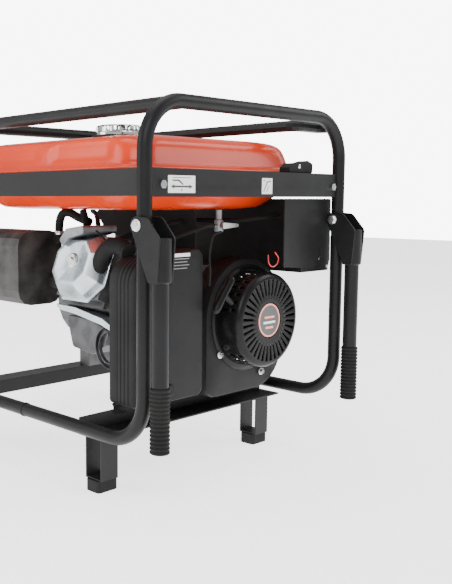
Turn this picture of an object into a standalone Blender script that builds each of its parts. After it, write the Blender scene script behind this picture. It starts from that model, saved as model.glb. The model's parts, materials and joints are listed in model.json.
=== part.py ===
# A portable generator: a steel tube frame on two wheels and two legs, with a
# single-cylinder engine, an alternator, a fuel tank and a control panel.
# Metres, +Z up, recoil starter at +X, cylinder head towards -Y, panel towards +Y.
# The origin is on the ground under the middle of the frame.

import math

import bmesh
import bpy
from mathutils import Matrix, Vector

for stale in list(bpy.data.objects):
    bpy.data.objects.remove(stale, do_unlink=True)

GAP = 0.0003                # clearance between pieces that touch
SMOOTH_ANGLE = math.radians(40)

# Frame
FRAME_LENGTH = 0.660        # recoil hoop to alternator hoop
FRAME_WIDTH = 0.543         # post centre to post centre
HOOP_HEIGHT = 0.562         # lower rail centre to top tube centre
RAIL_Z = 0.1263             # lower rail centre above the ground
TUBE_RADIUS = 0.0125
BEND_RADIUS = 0.080
TOP_RAIL_INSET = 0.0865     # from the post centres
ELBOW_RUN = 0.078           # across, from the rail to its end
ELBOW_RAIL_RADIUS = 0.011
ELBOW_RAIL_DROP = 0.0165    # below the hoop's top tube
ELBOW_INSET = 0.031         # from the hoop plane
ELBOW_END_INSET = 0.0285    # from the post centres
SHEET = 0.002
BEAM_HEIGHT = 0.046
BEAM_TOP_Z = 0.5793
BEAM_LIP = 0.015
BEAM_PROUD = 0.002          # outer face beyond the hoop plane
SIDE_BEAM_INSET = 0.0065    # its outer face from the post centres
ANGLE_THICKNESS = 0.003
ANGLE_WIDTH = 0.055
ANGLE_HEIGHT = 0.032
RECOIL_ANGLE_INSET = 0.183  # web of the recoil crossmember to the hoop plane
ALTERNATOR_ANGLE_INSET = 0.120

# Legs
LEG_INSET = 0.0515          # middle of a leg from the post centres
LEG_WIDTH = 0.040
LEG_DEPTH = 0.044
LEG_PLATE = 0.003
LEG_BOTTOM_Z = 0.022
FOOT_WIDTH = 0.0473
FOOT_DEPTH = 0.036

# Wheels
WHEEL_RADIUS = 0.100
RIM_RADIUS = 0.062
WHEEL_WIDTH = 0.044
WHEEL_GAP = 0.014           # post to wheel
AXLE_RADIUS = 0.008
AXLE_INSET = 0.055          # inboard of the alternator hoop plane
AXLE_END = 0.0075           # axle beyond the wheel
BRACKET_HALF = 0.019

# Folding handles
PIVOT_Z = 0.4883
PIVOT_RADIUS = 0.004
PIVOT_HEAD = 0.0065
HANDLE_OFFSET = 0.0365      # handle tube in front of the pivot
HANDLE_RADIUS = 0.014
SOCKET_RADIUS = 0.018
SOCKET_DROP = 0.019         # socket's top below the pivot
SOCKET_LENGTH = 0.070
HANDLE_LENGTH = 0.256       # pivot to the rubber grip's top
GRIP_RADIUS = 0.0165
GRIP_LENGTH = 0.084
GRIP_RIDGES = 4
END_PLUG_LENGTH = 0.024
CHEEK_CLEARANCE = 0.002     # cheek plate to post
CHEEK_THICKNESS = 0.003

# Engine
CRANK_Y = 0.092
CRANK_Z = 0.2963
CYLINDER_X = 0.059
CYLINDER_TILT = math.radians(21)
BORE_RADIUS = 0.044
BARREL_START = 0.090        # along the bore, from the crank axis
BARREL_END = 0.205
HEAD_END = 0.285
VALVE_COVER_END = 0.329
VALVE_COVER_SIZE = 0.0725   # half across the flats
CRANKCASE_LENGTH = 0.150
CRANKCASE_WALL = 0.012
SHAFT_RADIUS = 0.015
SHROUD_RADIUS = 0.118
SHROUD_FRONT_INSET = 0.085  # from the hoop plane
SHROUD_DEPTH = 0.050
SHROUD_SKIRT_Z = 0.148
COVER_RADIUS = 0.093
COVER_FLANGE = 0.013
COVER_FACE_INSET = 0.028
COVER_WALL = 0.0025
COVER_SLOTS = 36
COVER_PLATE = 0.014         # crankcase cover's thickness
CASE_BORE = 0.070
BADGE_RADIUS = 0.032
PULLEY_RADIUS = 0.030
GRIP_HALF = 0.036
BOWL_RADIUS = 0.019         # carburettor's float bowl
PLUG_ALONG = 0.245          # spark plug's place along the bore
PULL_TILT = math.radians(38)    # starter bar's lean from upright

# Air box
AIR_BOX_INSET = 0.057
AIR_BOX_DEPTH = 0.064
AIR_BOX_OUTER_Y = -0.240
AIR_BOX_INNER_Y = -0.068
AIR_BOX_BOTTOM_Z = 0.1713
AIR_BOX_TOP_Z = 0.4433
AIR_BOX_SLOPE = 0.017       # its top falls towards the outer side

# Alternator
ALTERNATOR_RADIUS = 0.095
ALTERNATOR_LENGTH = 0.205
ALTERNATOR_WALL = 0.014
ROTOR_RADIUS = 0.068

# Muffler, low and high corners
MUFFLER_LOW = (-0.295, -0.235, 0.316)
MUFFLER_HIGH = (-0.075, -0.125, 0.466)

# Fuel tank
TANK_INSET = 0.060
TANK_LEFT_INSET = 0.0365    # from the post centres
TANK_RIGHT_INSET = 0.0435
TANK_FLANGE = 0.018
TANK_SEAM = 0.004
TANK_TOP_Z = 0.6438
TANK_BOTTOM_Z = 0.5093
CAP_RADIUS = 0.044

# Control panel
PANEL_INSET = 0.020
PANEL_PROUD = 0.0005        # its mouth beyond the post centres
PANEL_DEPTH = 0.094
PANEL_LENGTH = 0.500
PANEL_BOTTOM_Z = 0.3843
PANEL_TOP_Z = 0.5303

RECOIL_X = FRAME_LENGTH / 2 - 0.005
ALTERNATOR_X = RECOIL_X - FRAME_LENGTH
MIDDLE_X = (RECOIL_X + ALTERNATOR_X) / 2
POST_Y = FRAME_WIDTH / 2
TOP_RAIL_Y = POST_Y - TOP_RAIL_INSET
ELBOW_END_Y = POST_Y - ELBOW_END_INSET
ELBOW_RAIL_Y = ELBOW_END_Y - ELBOW_RUN
SIDE_BEAM_Y = POST_Y - SIDE_BEAM_INSET
LEG_Y = POST_Y - LEG_INSET
WHEEL_INNER_Y = POST_Y + TUBE_RADIUS + WHEEL_GAP
AXLE_HALF = WHEEL_INNER_Y + WHEEL_WIDTH + AXLE_END
TANK_LEFT_Y = TANK_LEFT_INSET - POST_Y
TANK_RIGHT_Y = POST_Y - TANK_RIGHT_INSET
PANEL_OUTER_Y = POST_Y + PANEL_PROUD
PANEL_INNER_Y = PANEL_OUTER_Y - PANEL_DEPTH
TOP_Z = RAIL_Z + HOOP_HEIGHT
INNER_Y = POST_Y - TUBE_RADIUS - GAP
AXLE_X = ALTERNATOR_X + AXLE_INSET
COVER_FACE_X = RECOIL_X - COVER_FACE_INSET
SHROUD_FRONT_X = RECOIL_X - SHROUD_FRONT_INSET
SHROUD_BACK_X = SHROUD_FRONT_X - SHROUD_DEPTH
BLOCK_FRONT_X = CYLINDER_X + CRANKCASE_LENGTH / 2
BLOCK_BACK_X = CYLINDER_X - CRANKCASE_LENGTH / 2

FAN_X = SHROUD_BACK_X + 0.018
PULLEY_X = SHROUD_FRONT_X + 0.022
GRIP_PLACE = Vector((COVER_FACE_X - 0.0155, CRANK_Y - COVER_RADIUS - 0.026, CRANK_Z + 0.0577))
ROTOR_START = BLOCK_BACK_X - COVER_PLATE - GAP - 0.012
AIR_BOX_FRONT = RECOIL_X - AIR_BOX_INSET
AIR_BOX_BACK = AIR_BOX_FRONT - AIR_BOX_DEPTH
PANEL_END_X = RECOIL_X - PANEL_INSET
VALVE_PLACE = (RECOIL_X - 0.100, 0.022)
CAP_PLACE = (0.126, -0.146)


def along_x(u, v, w):
    return Vector((w, u, v))


def along_y(u, v, w):
    return Vector((u, w, v))


def along_z(u, v, w):
    return Vector((u, v, w))


def across_bore(u, v, w):
    """u runs along the bore from the crank axis, v across it, w along the crank."""
    cosine = math.cos(CYLINDER_TILT)
    sine = math.sin(CYLINDER_TILT)
    return Vector((w, CRANK_Y - u * cosine + v * sine, CRANK_Z + u * sine + v * cosine))


def along_bore(u, v, w):
    """u runs along the crank, v across the bore, w along the bore."""
    return across_bore(w, v, u)


def paint(name, colour, roughness, metallic=0.0):
    material = bpy.data.materials.new(name)
    material.use_nodes = True
    shader = material.node_tree.nodes["Principled BSDF"]
    shader.inputs["Base Color"].default_value = (*colour, 1.0)
    shader.inputs["Roughness"].default_value = roughness
    shader.inputs["Metallic"].default_value = metallic
    material.diffuse_color = (*colour, 1.0)
    return material


def finish(name, shape, material, origin=None):
    """Turns a bmesh into a named object, with its origin on a joint where one is given."""
    bmesh.ops.recalc_face_normals(shape, faces=shape.faces)
    mesh = bpy.data.meshes.new(name)
    shape.to_mesh(mesh)
    shape.free()
    mesh.materials.append(material)
    mesh.shade_smooth()
    mesh.set_sharp_from_angle(angle=SMOOTH_ANGLE)
    piece = bpy.data.objects.new(name, mesh)
    bpy.context.scene.collection.objects.link(piece)
    if origin is not None:
        mesh.transform(Matrix.Translation(-Vector(origin)))
        piece.location = origin
    return piece


def boolean(piece, shape, operation):
    """Cuts or joins a shape, which is kept as a hidden wire guide."""
    count = len(piece.modifiers) + 1
    guide = finish(f"{piece.name}_guide_{count}", shape, piece.data.materials[0])
    guide.hide_render = True
    guide.display_type = "WIRE"
    modifier = piece.modifiers.new(f"{operation.lower()}_{count}", "BOOLEAN")
    modifier.operation = operation
    modifier.solver = "EXACT"
    modifier.object = guide
    return piece


def cut(piece, shape):
    return boolean(piece, shape, "DIFFERENCE")


def join(piece, shape):
    return boolean(piece, shape, "UNION")


def rounded(points, radius, steps, closed=False):
    """Rounds the corners of a path or outline with arcs; radius may be a list."""
    count = len(points)
    path = []
    for index, point in enumerate(points):
        corner = Vector(point)
        size = radius[index] if isinstance(radius, (list, tuple)) else radius
        if size <= 0 or (not closed and index in (0, count - 1)):
            path.append(corner)
            continue
        before = (Vector(points[index - 1]) - corner).normalized()
        after = (Vector(points[(index + 1) % count]) - corner).normalized()
        half = before.angle(after) / 2
        middle = corner + (before + after).normalized() * (size / math.sin(half))
        start = corner + before * (size / math.tan(half)) - middle
        end = corner + after * (size / math.tan(half)) - middle
        sweep = start.angle(end)
        for step in range(steps + 1):
            share = step / steps
            weight_start = math.sin((1 - share) * sweep) / math.sin(sweep)
            weight_end = math.sin(share * sweep) / math.sin(sweep)
            path.append(middle + start * weight_start + end * weight_end)
    return path


def outline(points, radius=0.0, steps=3):
    """A closed outline in the plane, as (u, v) pairs."""
    flat = [(u, v, 0.0) for u, v in points]
    return [(p.x, p.y) for p in rounded(flat, radius, steps, closed=True)]


def rectangle(u_low, u_high, v_low, v_high, radius=0.0, steps=3):
    corners = [(u_low, v_low), (u_high, v_low), (u_high, v_high), (u_low, v_high)]
    return outline(corners, radius, steps)


def circle(u, v, radius, sides, start=0.0):
    turn = 2 * math.pi / sides
    return [(u + radius * math.cos(start + turn * k), v + radius * math.sin(start + turn * k))
            for k in range(sides)]


def bridge(shape, rings, loop=False):
    """Joins rings of points with quads; open stacks get a cap at each end."""
    rows = [[shape.verts.new(point) for point in ring] for ring in rings]
    pairs = list(zip(rows, rows[1:] + rows[:1])) if loop else list(zip(rows, rows[1:]))
    for row, other in pairs:
        for index in range(len(row)):
            after = (index + 1) % len(row)
            shape.faces.new((row[index], row[after], other[after], other[index]))
    if not loop:
        shape.faces.new(rows[0])
        shape.faces.new(list(reversed(rows[-1])))
    return shape


def prism(points, place, low, high, shape=None):
    shape = shape or bmesh.new()
    return bridge(shape, [[place(u, v, w) for u, v in points] for w in (low, high)])


def box(low, high, shape=None):
    corners = rectangle(low[0], high[0], low[1], high[1])
    return prism(corners, along_z, low[2], high[2], shape)


def turned(profile, place, centre, sides, shape=None, loop=False):
    """Turns (radius, distance) pairs about an axis, as a solid or, with loop, as a ring."""
    shape = shape or bmesh.new()
    rings = [[place(u, v, w) for u, v in circle(*centre, radius, sides)] for radius, w in profile]
    return bridge(shape, rings, loop)


def rod(place, centre, radius, low, high, sides=12, shape=None):
    return turned([(radius, low), (radius, high)], place, centre, sides, shape)


def pipe(path, radius, sides, shape=None):
    """Sweeps a circle along a path, with mitred rings."""
    shape = shape or bmesh.new()
    points = [Vector(point) for point in path]
    heading = (points[1] - points[0]).normalized()
    side = heading.orthogonal().normalized()
    rings = []
    for index, point in enumerate(points):
        before = (point - points[max(index - 1, 0)]).normalized()
        after = (points[min(index + 1, len(points) - 1)] - point).normalized()
        before = before if before.length > 0 else after
        after = after if after.length > 0 else before
        side = (side - before * side.dot(before)).normalized()
        up = before.cross(side)
        normal = (before + after).normalized()
        ring = []
        for u, v in circle(0.0, 0.0, radius, sides, math.pi / sides):
            spoke = side * u + up * v
            ring.append(point + spoke - before * (spoke.dot(normal) / before.dot(normal)))
        rings.append(ring)
    return bridge(shape, rings)


black = paint("black_paint", (0.012, 0.012, 0.013), 0.38)
plastic = paint("black_plastic", (0.016, 0.016, 0.017), 0.5)
rubber = paint("black_rubber", (0.02, 0.02, 0.02), 0.8)
orange = paint("orange_paint", (0.70, 0.09, 0.02), 0.25)
zinc = paint("zinc_steel", (0.62, 0.62, 0.60), 0.35, 1.0)
casting = paint("cast_aluminium", (0.55, 0.56, 0.57), 0.5, 1.0)
steel = paint("dark_steel", (0.20, 0.20, 0.20), 0.45, 1.0)
white = paint("white_plastic", (0.80, 0.80, 0.78), 0.4)
red = paint("red_plastic", (0.60, 0.03, 0.02), 0.4)


def bolt(place, centre, seat, out, head_radius, head_height, shank, length):
    """A hex bolt whose head stands on the seat; out is +1 or -1 along its axis."""
    head = seat + out * GAP
    sections = [(shank, seat - out * length), (shank, head), (head_radius, head),
                (head_radius, head + out * head_height)]
    return turned(sections, place, centre, 6)


def hoop_path(plane_x, far_x):
    corners = [(far_x, -POST_Y, RAIL_Z), (plane_x, -POST_Y, RAIL_Z), (plane_x, -POST_Y, TOP_Z),
               (plane_x, POST_Y, TOP_Z), (plane_x, POST_Y, RAIL_Z), (far_x, POST_Y, RAIL_Z)]
    return rounded(corners, BEND_RADIUS, 6)


def hoop_clearance(plane_x):
    return pipe(hoop_path(plane_x, MIDDLE_X), TUBE_RADIUS + GAP, 14)


def make_frame():
    recoil_hoop = finish("recoil_end_hoop", pipe(hoop_path(RECOIL_X, MIDDLE_X + GAP / 2), TUBE_RADIUS, 14),
                         black)
    for side in (-1, 1):
        reach = POST_Y + 0.02
        low, high = sorted((side * (POST_Y - 0.02), side * reach))
        cut(recoil_hoop, rod(along_y, (RECOIL_X, PIVOT_Z), PIVOT_RADIUS + GAP, low, high, 8))
    finish("alternator_end_hoop", pipe(hoop_path(ALTERNATOR_X, MIDDLE_X - GAP / 2), TUBE_RADIUS, 14), black)

    rail = finish("cylinder_side_top_rail",
                  rod(along_x, (-TOP_RAIL_Y, TOP_Z), TUBE_RADIUS, ALTERNATOR_X, RECOIL_X, 14), black)
    elbow_z = TOP_Z - ELBOW_RAIL_DROP
    recoil_elbow = RECOIL_X - ELBOW_INSET
    alternator_elbow = ALTERNATOR_X + ELBOW_INSET
    corners = [(ALTERNATOR_X, ELBOW_END_Y, elbow_z), (alternator_elbow, ELBOW_END_Y, elbow_z),
               (alternator_elbow, ELBOW_RAIL_Y, elbow_z), (recoil_elbow, ELBOW_RAIL_Y, elbow_z),
               (recoil_elbow, ELBOW_END_Y, elbow_z), (RECOIL_X, ELBOW_END_Y, elbow_z)]
    elbow_rail = finish("panel_side_top_rail",
                        pipe(rounded(corners, 0.016, 3), ELBOW_RAIL_RADIUS, 10), black)
    for piece in (rail, elbow_rail):
        for plane_x in (RECOIL_X, ALTERNATOR_X):
            cut(piece, hoop_clearance(plane_x))


def end_beam(name, plane_x, out):
    outer = plane_x + out * BEAM_PROUD
    inner = outer - out * SHEET
    lip = outer - out * BEAM_LIP
    low = BEAM_TOP_Z - BEAM_HEIGHT
    section = [(outer, low), (outer, BEAM_TOP_Z), (lip, BEAM_TOP_Z), (lip, BEAM_TOP_Z - SHEET),
               (inner, BEAM_TOP_Z - SHEET), (inner, low + SHEET), (lip, low + SHEET), (lip, low)]
    return finish(name, prism(section, along_y, -INNER_Y, INNER_Y), black)


def side_beam(name, side):
    outer = side * SIDE_BEAM_Y
    inner = outer - side * SHEET
    lip = outer - side * BEAM_LIP
    low = BEAM_TOP_Z - BEAM_HEIGHT + 0.0015
    section = [(outer, low), (outer, BEAM_TOP_Z), (lip, BEAM_TOP_Z), (lip, BEAM_TOP_Z - SHEET),
               (inner, BEAM_TOP_Z - SHEET), (inner, low + SHEET), (lip, low + SHEET), (lip, low)]
    ends = (ALTERNATOR_X - BEAM_PROUD + BEAM_LIP + GAP, RECOIL_X + BEAM_PROUD - BEAM_LIP - GAP)
    return finish(name, prism(section, along_x, *ends), black)


END_BOLT_Z = BEAM_TOP_Z - 0.026
END_BOLT_YS = (-POST_Y + 0.0365, POST_Y - 0.0255)
BOLT_HEAD = 0.0075
BOLT_HEAD_HEIGHT = 0.005
BOLT_SHANK = 0.0038


def make_beams():
    for name, plane_x, out in (("recoil_end_beam", RECOIL_X, 1), ("alternator_end_beam", ALTERNATOR_X, -1)):
        end_beam(name, plane_x, out)
    side_beam("cylinder_side_beam", -1)
    side_beam("panel_side_beam", 1)
    beam = bpy.data.objects["recoil_end_beam"]
    for name, y in zip(("cylinder_side_beam_bolt", "panel_side_beam_bolt"), END_BOLT_YS):
        cut(beam, rod(along_x, (y, END_BOLT_Z), BOLT_SHANK + GAP, RECOIL_X - 0.01, RECOIL_X + 0.01, 8))
        finish(name, bolt(along_x, (y, END_BOLT_Z), RECOIL_X + BEAM_PROUD, 1, BOLT_HEAD, BOLT_HEAD_HEIGHT,
                          BOLT_SHANK, 0.009), zinc)


def make_crossmembers():
    low = RAIL_Z - 0.020
    web = RECOIL_X - RECOIL_ANGLE_INSET
    t = ANGLE_THICKNESS
    section = [(web, low), (web + ANGLE_WIDTH, low), (web + ANGLE_WIDTH, low + t), (web + t, low + t),
               (web + t, low + ANGLE_HEIGHT), (web, low + ANGLE_HEIGHT)]
    finish("recoil_crossmember", prism(section, along_y, -INNER_Y, INNER_Y), black)
    web = ALTERNATOR_X + ALTERNATOR_ANGLE_INSET
    high = RAIL_Z + 0.010
    low = high - 0.030
    back = AXLE_X + BRACKET_HALF - 0.002
    section = [(web, low), (web, high), (back, high), (back, high - t), (web - t, high - t), (web - t, low)]
    angle = finish("alternator_crossmember", prism(section, along_y, -INNER_Y, INNER_Y), black)
    foot = WHEEL_RADIUS - 0.012
    plate = outline([(AXLE_X - BRACKET_HALF, high), (AXLE_X - BRACKET_HALF, foot),
                     (AXLE_X + BRACKET_HALF, foot), (AXLE_X + BRACKET_HALF, high)], [0, 0.012, 0.012, 0], 3)
    for side in (-1, 1):
        low_y, high_y = sorted((side * (INNER_Y - 0.001), side * (INNER_Y - 0.006)))
        join(angle, prism(plate, along_y, low_y, high_y))
    cut(angle, rod(along_y, (AXLE_X, WHEEL_RADIUS), AXLE_RADIUS + GAP, -INNER_Y - 0.01, INNER_Y + 0.01, 14))


def make_leg(name, side):
    """A U-shaped strap under the recoil crossmember, with a rubber foot block below it."""
    front = RECOIL_X - RECOIL_ANGLE_INSET + 0.040
    back = front - LEG_DEPTH
    top = RAIL_Z - 0.020 - GAP
    low = LEG_BOTTOM_Z
    t = LEG_PLATE
    section = [(back, top), (back, low), (front, low), (front, top), (front - t, top),
               (front - t, low + t), (back + t, low + t), (back + t, top)]
    middle = side * LEG_Y
    finish(name, prism(section, along_y, middle - LEG_WIDTH / 2, middle + LEG_WIDTH / 2), black)
    centre = (front + back) / 2
    block = rectangle(centre - FOOT_DEPTH / 2, centre + FOOT_DEPTH / 2,
                      middle - FOOT_WIDTH / 2, middle + FOOT_WIDTH / 2, 0.006, 2)
    finish(name.replace("leg", "foot"), prism(block, along_z, 0.0, low - GAP), rubber)


def make_legs():
    make_leg("cylinder_side_leg", -1)
    make_leg("panel_side_leg", 1)


def make_wheels():
    shape = turned([(AXLE_RADIUS, -AXLE_HALF), (AXLE_RADIUS, AXLE_HALF)], along_y, (AXLE_X, WHEEL_RADIUS), 14)
    finish("axle", shape, zinc)
    for name, side in (("cylinder_side", -1), ("panel_side", 1)):
        centre = (AXLE_X, WHEEL_RADIUS)
        inner = side * WHEEL_INNER_Y
        outer_face = side * (WHEEL_INNER_Y + WHEEL_WIDTH)
        middle = (inner + outer_face) / 2
        half = WHEEL_WIDTH / 2
        tyre = [(RIM_RADIUS + GAP, middle - half * 0.75), (WHEEL_RADIUS - 0.018, middle - half),
                (WHEEL_RADIUS - 0.004, middle - half * 0.75), (WHEEL_RADIUS, middle - half * 0.25),
                (WHEEL_RADIUS, middle + half * 0.25), (WHEEL_RADIUS - 0.004, middle + half * 0.75),
                (WHEEL_RADIUS - 0.018, middle + half), (RIM_RADIUS + GAP, middle + half * 0.75)]
        origin = (AXLE_X, middle, WHEEL_RADIUS)
        finish(name + "_tyre", turned(tyre, along_y, centre, 24, loop=True), rubber, origin)
        rim = [(AXLE_RADIUS + GAP, middle - half * 0.95), (0.020, middle - half * 0.95),
               (0.020, middle - 0.004),
               (RIM_RADIUS - 0.012, middle - 0.004), (RIM_RADIUS - 0.008, middle - half * 0.75),
               (RIM_RADIUS, middle - half * 0.75), (RIM_RADIUS, middle + half * 0.75),
               (RIM_RADIUS - 0.008, middle + half * 0.75), (RIM_RADIUS - 0.012, middle + 0.004),
               (0.020, middle + 0.004), (0.020, middle + half * 0.95),
               (AXLE_RADIUS + GAP, middle + half * 0.95)]
        wheel = finish(name + "_rim", turned(rim, along_y, centre, 24, loop=True), white, origin)
        for spoke in range(5):
            angle = 2 * math.pi * spoke / 5
            hole = (AXLE_X + 0.034 * math.cos(angle), WHEEL_RADIUS + 0.034 * math.sin(angle))
            cut(wheel, rod(along_y, hole, 0.009, middle - 0.02, middle + 0.02, 8))


def make_handle(name, side):
    """A handle that folds up about a bolt through the post."""
    x = RECOIL_X + HANDLE_OFFSET
    y = side * POST_Y
    pivot = (RECOIL_X, y, PIVOT_Z)
    inner = TUBE_RADIUS + CHEEK_CLEARANCE
    socket_top = PIVOT_Z - SOCKET_DROP
    socket_bottom = socket_top - SOCKET_LENGTH
    lobe = [(RECOIL_X + 0.0145 * math.cos(a), PIVOT_Z + 0.0145 * math.sin(a))
            for a in (math.radians(45 * k) for k in range(2, 6))]
    cheek = lobe + [(x - 0.010, socket_bottom), (x + 0.010, socket_bottom), (x + 0.016, socket_top),
                    (x - 0.010, PIVOT_Z + 0.010)]
    grip_top = PIVOT_Z - HANDLE_LENGTH
    grip_bottom = grip_top - GRIP_LENGTH
    core = HANDLE_RADIUS - 0.003
    tube = [(core, grip_bottom), (core, grip_top + GAP), (HANDLE_RADIUS, grip_top + GAP),
            (HANDLE_RADIUS, socket_bottom), (SOCKET_RADIUS, socket_bottom), (SOCKET_RADIUS, socket_top)]
    handle = finish(name, turned(tube, along_z, (x, y), 16), black, pivot)
    for sign in (-1, 1):
        low, high = sorted((y + sign * inner, y + sign * (inner + CHEEK_THICKNESS)))
        join(handle, prism(cheek, along_y, low, high))
    cut(handle, rod(along_y, (RECOIL_X, PIVOT_Z), PIVOT_RADIUS + GAP, y - 0.03, y + 0.03, 8))
    ridge = GRIP_LENGTH / (2 * GRIP_RIDGES)
    groove = GRIP_RADIUS - 0.001
    end = grip_bottom - END_PLUG_LENGTH
    sleeve = [(core + GAP, grip_bottom - GAP), (0.002, grip_bottom - GAP), (0.002, end), (0.013, end),
              (HANDLE_RADIUS, end + 0.002), (HANDLE_RADIUS, grip_bottom), (groove, grip_bottom)]
    for index in range(GRIP_RIDGES):
        base = grip_bottom + ridge * (2 * index + 0.6)
        sleeve += [(groove, base), (GRIP_RADIUS, base + ridge * 0.4), (GRIP_RADIUS, base + ridge),
                   (groove, base + ridge * 1.3)]
    sleeve += [(groove, grip_top), (core + GAP, grip_top)]
    finish(name + "_grip", turned(sleeve, along_z, (x, y), 16, loop=True), rubber, pivot)


def make_handles():
    for name, side in (("cylinder_side_handle", -1), ("panel_side_handle", 1)):
        make_handle(name, side)
        y = side * POST_Y
        reach = TUBE_RADIUS + CHEEK_CLEARANCE + CHEEK_THICKNESS + GAP
        sections = [(PIVOT_HEAD, y - reach - 0.005), (PIVOT_HEAD, y - reach), (PIVOT_RADIUS, y - reach),
                    (PIVOT_RADIUS, y + reach), (PIVOT_HEAD, y + reach), (PIVOT_HEAD, y + reach + 0.005)]
        finish(name.replace("handle", "pivot_bolt"),
               turned(sections, along_y, (RECOIL_X, PIVOT_Z), 8), zinc)


def make_engine_block():
    """The crankcase with its inclined cylinder barrel, open at the bore and at the cover."""
    case = outline([(CRANK_Y - 0.098, SHROUD_SKIRT_Z), (CRANK_Y + 0.098, SHROUD_SKIRT_Z),
                    (CRANK_Y + 0.098, CRANK_Z + 0.070), (CRANK_Y + 0.060, CRANK_Z + 0.098),
                    (CRANK_Y - 0.098, CRANK_Z + 0.098)], 0.010, 2)
    block = finish("engine_block", prism(case, along_x, BLOCK_BACK_X, BLOCK_FRONT_X), casting)
    comb = [(BARREL_START - 0.030, -0.052)]
    fins = 6
    pitch = (BARREL_END - BARREL_START) / fins
    for index in range(fins):
        start = BARREL_START + index * pitch
        comb += [(start, -0.052), (start, -0.066)]
        comb += [(start + pitch * 0.4, -0.066), (start + pitch * 0.4, -0.052)]
    comb += [(BARREL_END, -0.052)]
    comb += [(u, -v) for u, v in reversed(comb)]
    join(block, prism(comb, across_bore, CYLINDER_X - 0.060, CYLINDER_X + 0.060))
    foot_z = RAIL_Z - 0.020 + ANGLE_HEIGHT + GAP
    join(block, box((BLOCK_FRONT_X - 0.014, CRANK_Y - 0.090, foot_z),
                    (BLOCK_FRONT_X + 0.028, CRANK_Y + 0.090, SHROUD_SKIRT_Z + 0.004)))
    cavity = BLOCK_FRONT_X - CRANKCASE_WALL
    cut(block, rod(along_x, (CRANK_Y, CRANK_Z), CASE_BORE, BLOCK_BACK_X - 0.01, cavity, 20))
    cut(block, rod(along_bore, (CYLINDER_X, 0.0), BORE_RADIUS, 0.01, BARREL_END + 0.01, 20))
    cut(block, rod(along_x, (CRANK_Y, CRANK_Z), SHAFT_RADIUS + GAP, cavity - 0.01, BLOCK_FRONT_X + 0.01, 12))
    cover = outline([(CRANK_Y - 0.092, SHROUD_SKIRT_Z + 0.006), (CRANK_Y + 0.092, SHROUD_SKIRT_Z + 0.006),
                     (CRANK_Y + 0.092, CRANK_Z + 0.066), (CRANK_Y + 0.058, CRANK_Z + 0.092),
                     (CRANK_Y - 0.092, CRANK_Z + 0.092)], 0.012, 2)
    lid = finish("crankcase_cover",
                 prism(cover, along_x, BLOCK_BACK_X - COVER_PLATE, BLOCK_BACK_X - GAP), casting)
    cut(lid, rod(along_x, (CRANK_Y, CRANK_Z), SHAFT_RADIUS + GAP,
                 BLOCK_BACK_X - 0.02, BLOCK_BACK_X + 0.01, 12))
    crown = BARREL_START + 0.055
    piston = [(BORE_RADIUS - 0.0006, crown - 0.045), (BORE_RADIUS - 0.0006, crown), (0.036, crown + 0.002)]
    finish("piston", turned(piston, along_bore, (CYLINDER_X, 0.0), 20), casting)


def make_head():
    base = BARREL_END + GAP
    comb = [(base, -0.058)]
    fins = 4
    pitch = (HEAD_END - 0.012 - base) / fins
    for index in range(fins):
        start = base + 0.004 + index * pitch
        comb += [(start, -0.058), (start, -0.070)]
        comb += [(start + pitch * 0.4, -0.070), (start + pitch * 0.4, -0.058)]
    comb += [(HEAD_END, -0.058)]
    comb += [(u, -v) for u, v in reversed(comb)]
    head = finish("cylinder_head", prism(comb, across_bore, CYLINDER_X - 0.062, CYLINDER_X + 0.062), casting)
    plug_hole = rod(across_bore, (PLUG_ALONG, 0.030), 0.007 + GAP, CYLINDER_X + 0.040, CYLINDER_X + 0.070, 10)
    cut(head, plug_hole)
    rings = []
    for inset, along in ((0.0, HEAD_END + GAP), (0.0, HEAD_END + 0.008), (0.006, HEAD_END + 0.010),
                         (0.010, VALVE_COVER_END - 0.010), (0.018, VALVE_COVER_END)):
        size = VALVE_COVER_SIZE - inset
        corners = rectangle(-size, size, -size * 0.93, size * 0.93, size * 0.5, 2)
        rings.append([along_bore(CYLINDER_X + u, v, along) for u, v in corners])
    finish("valve_cover", bridge(bmesh.new(), rings), casting)
    plug = [(0.006, CYLINDER_X + 0.044), (0.006, CYLINDER_X + 0.062 + GAP), (0.010, CYLINDER_X + 0.062 + GAP),
            (0.010, CYLINDER_X + 0.070), (0.005, CYLINDER_X + 0.071), (0.005, CYLINDER_X + 0.092)]
    finish("spark_plug", turned(plug, across_bore, (PLUG_ALONG, 0.030), 10), white)
    tip = across_bore(PLUG_ALONG, 0.030, CYLINDER_X + 0.092 + GAP)
    route = [tip, tip + Vector((0.020, 0.0, 0.0)), tip + Vector((0.030, 0.012, 0.022)),
             Vector((SHROUD_BACK_X - 0.020, CRANK_Y - 0.085, CRANK_Z + 0.118)),
             Vector((SHROUD_BACK_X - GAP, CRANK_Y - 0.075, CRANK_Z + 0.070))]
    finish("ignition_lead", pipe(rounded(route, 0.010, 3), 0.0035, 8), plastic)


def shroud_outline(inset):
    radius = SHROUD_RADIUS - inset
    skirt = SHROUD_SKIRT_Z + inset
    arc = [(CRANK_Y + radius * math.cos(a), CRANK_Z + radius * math.sin(a))
           for a in (math.radians(-15 + 210 * k / 20) for k in range(21))]
    return [(arc[0][0] - 0.012, skirt)] + arc + [(arc[-1][0] + 0.012, skirt)]


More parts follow.
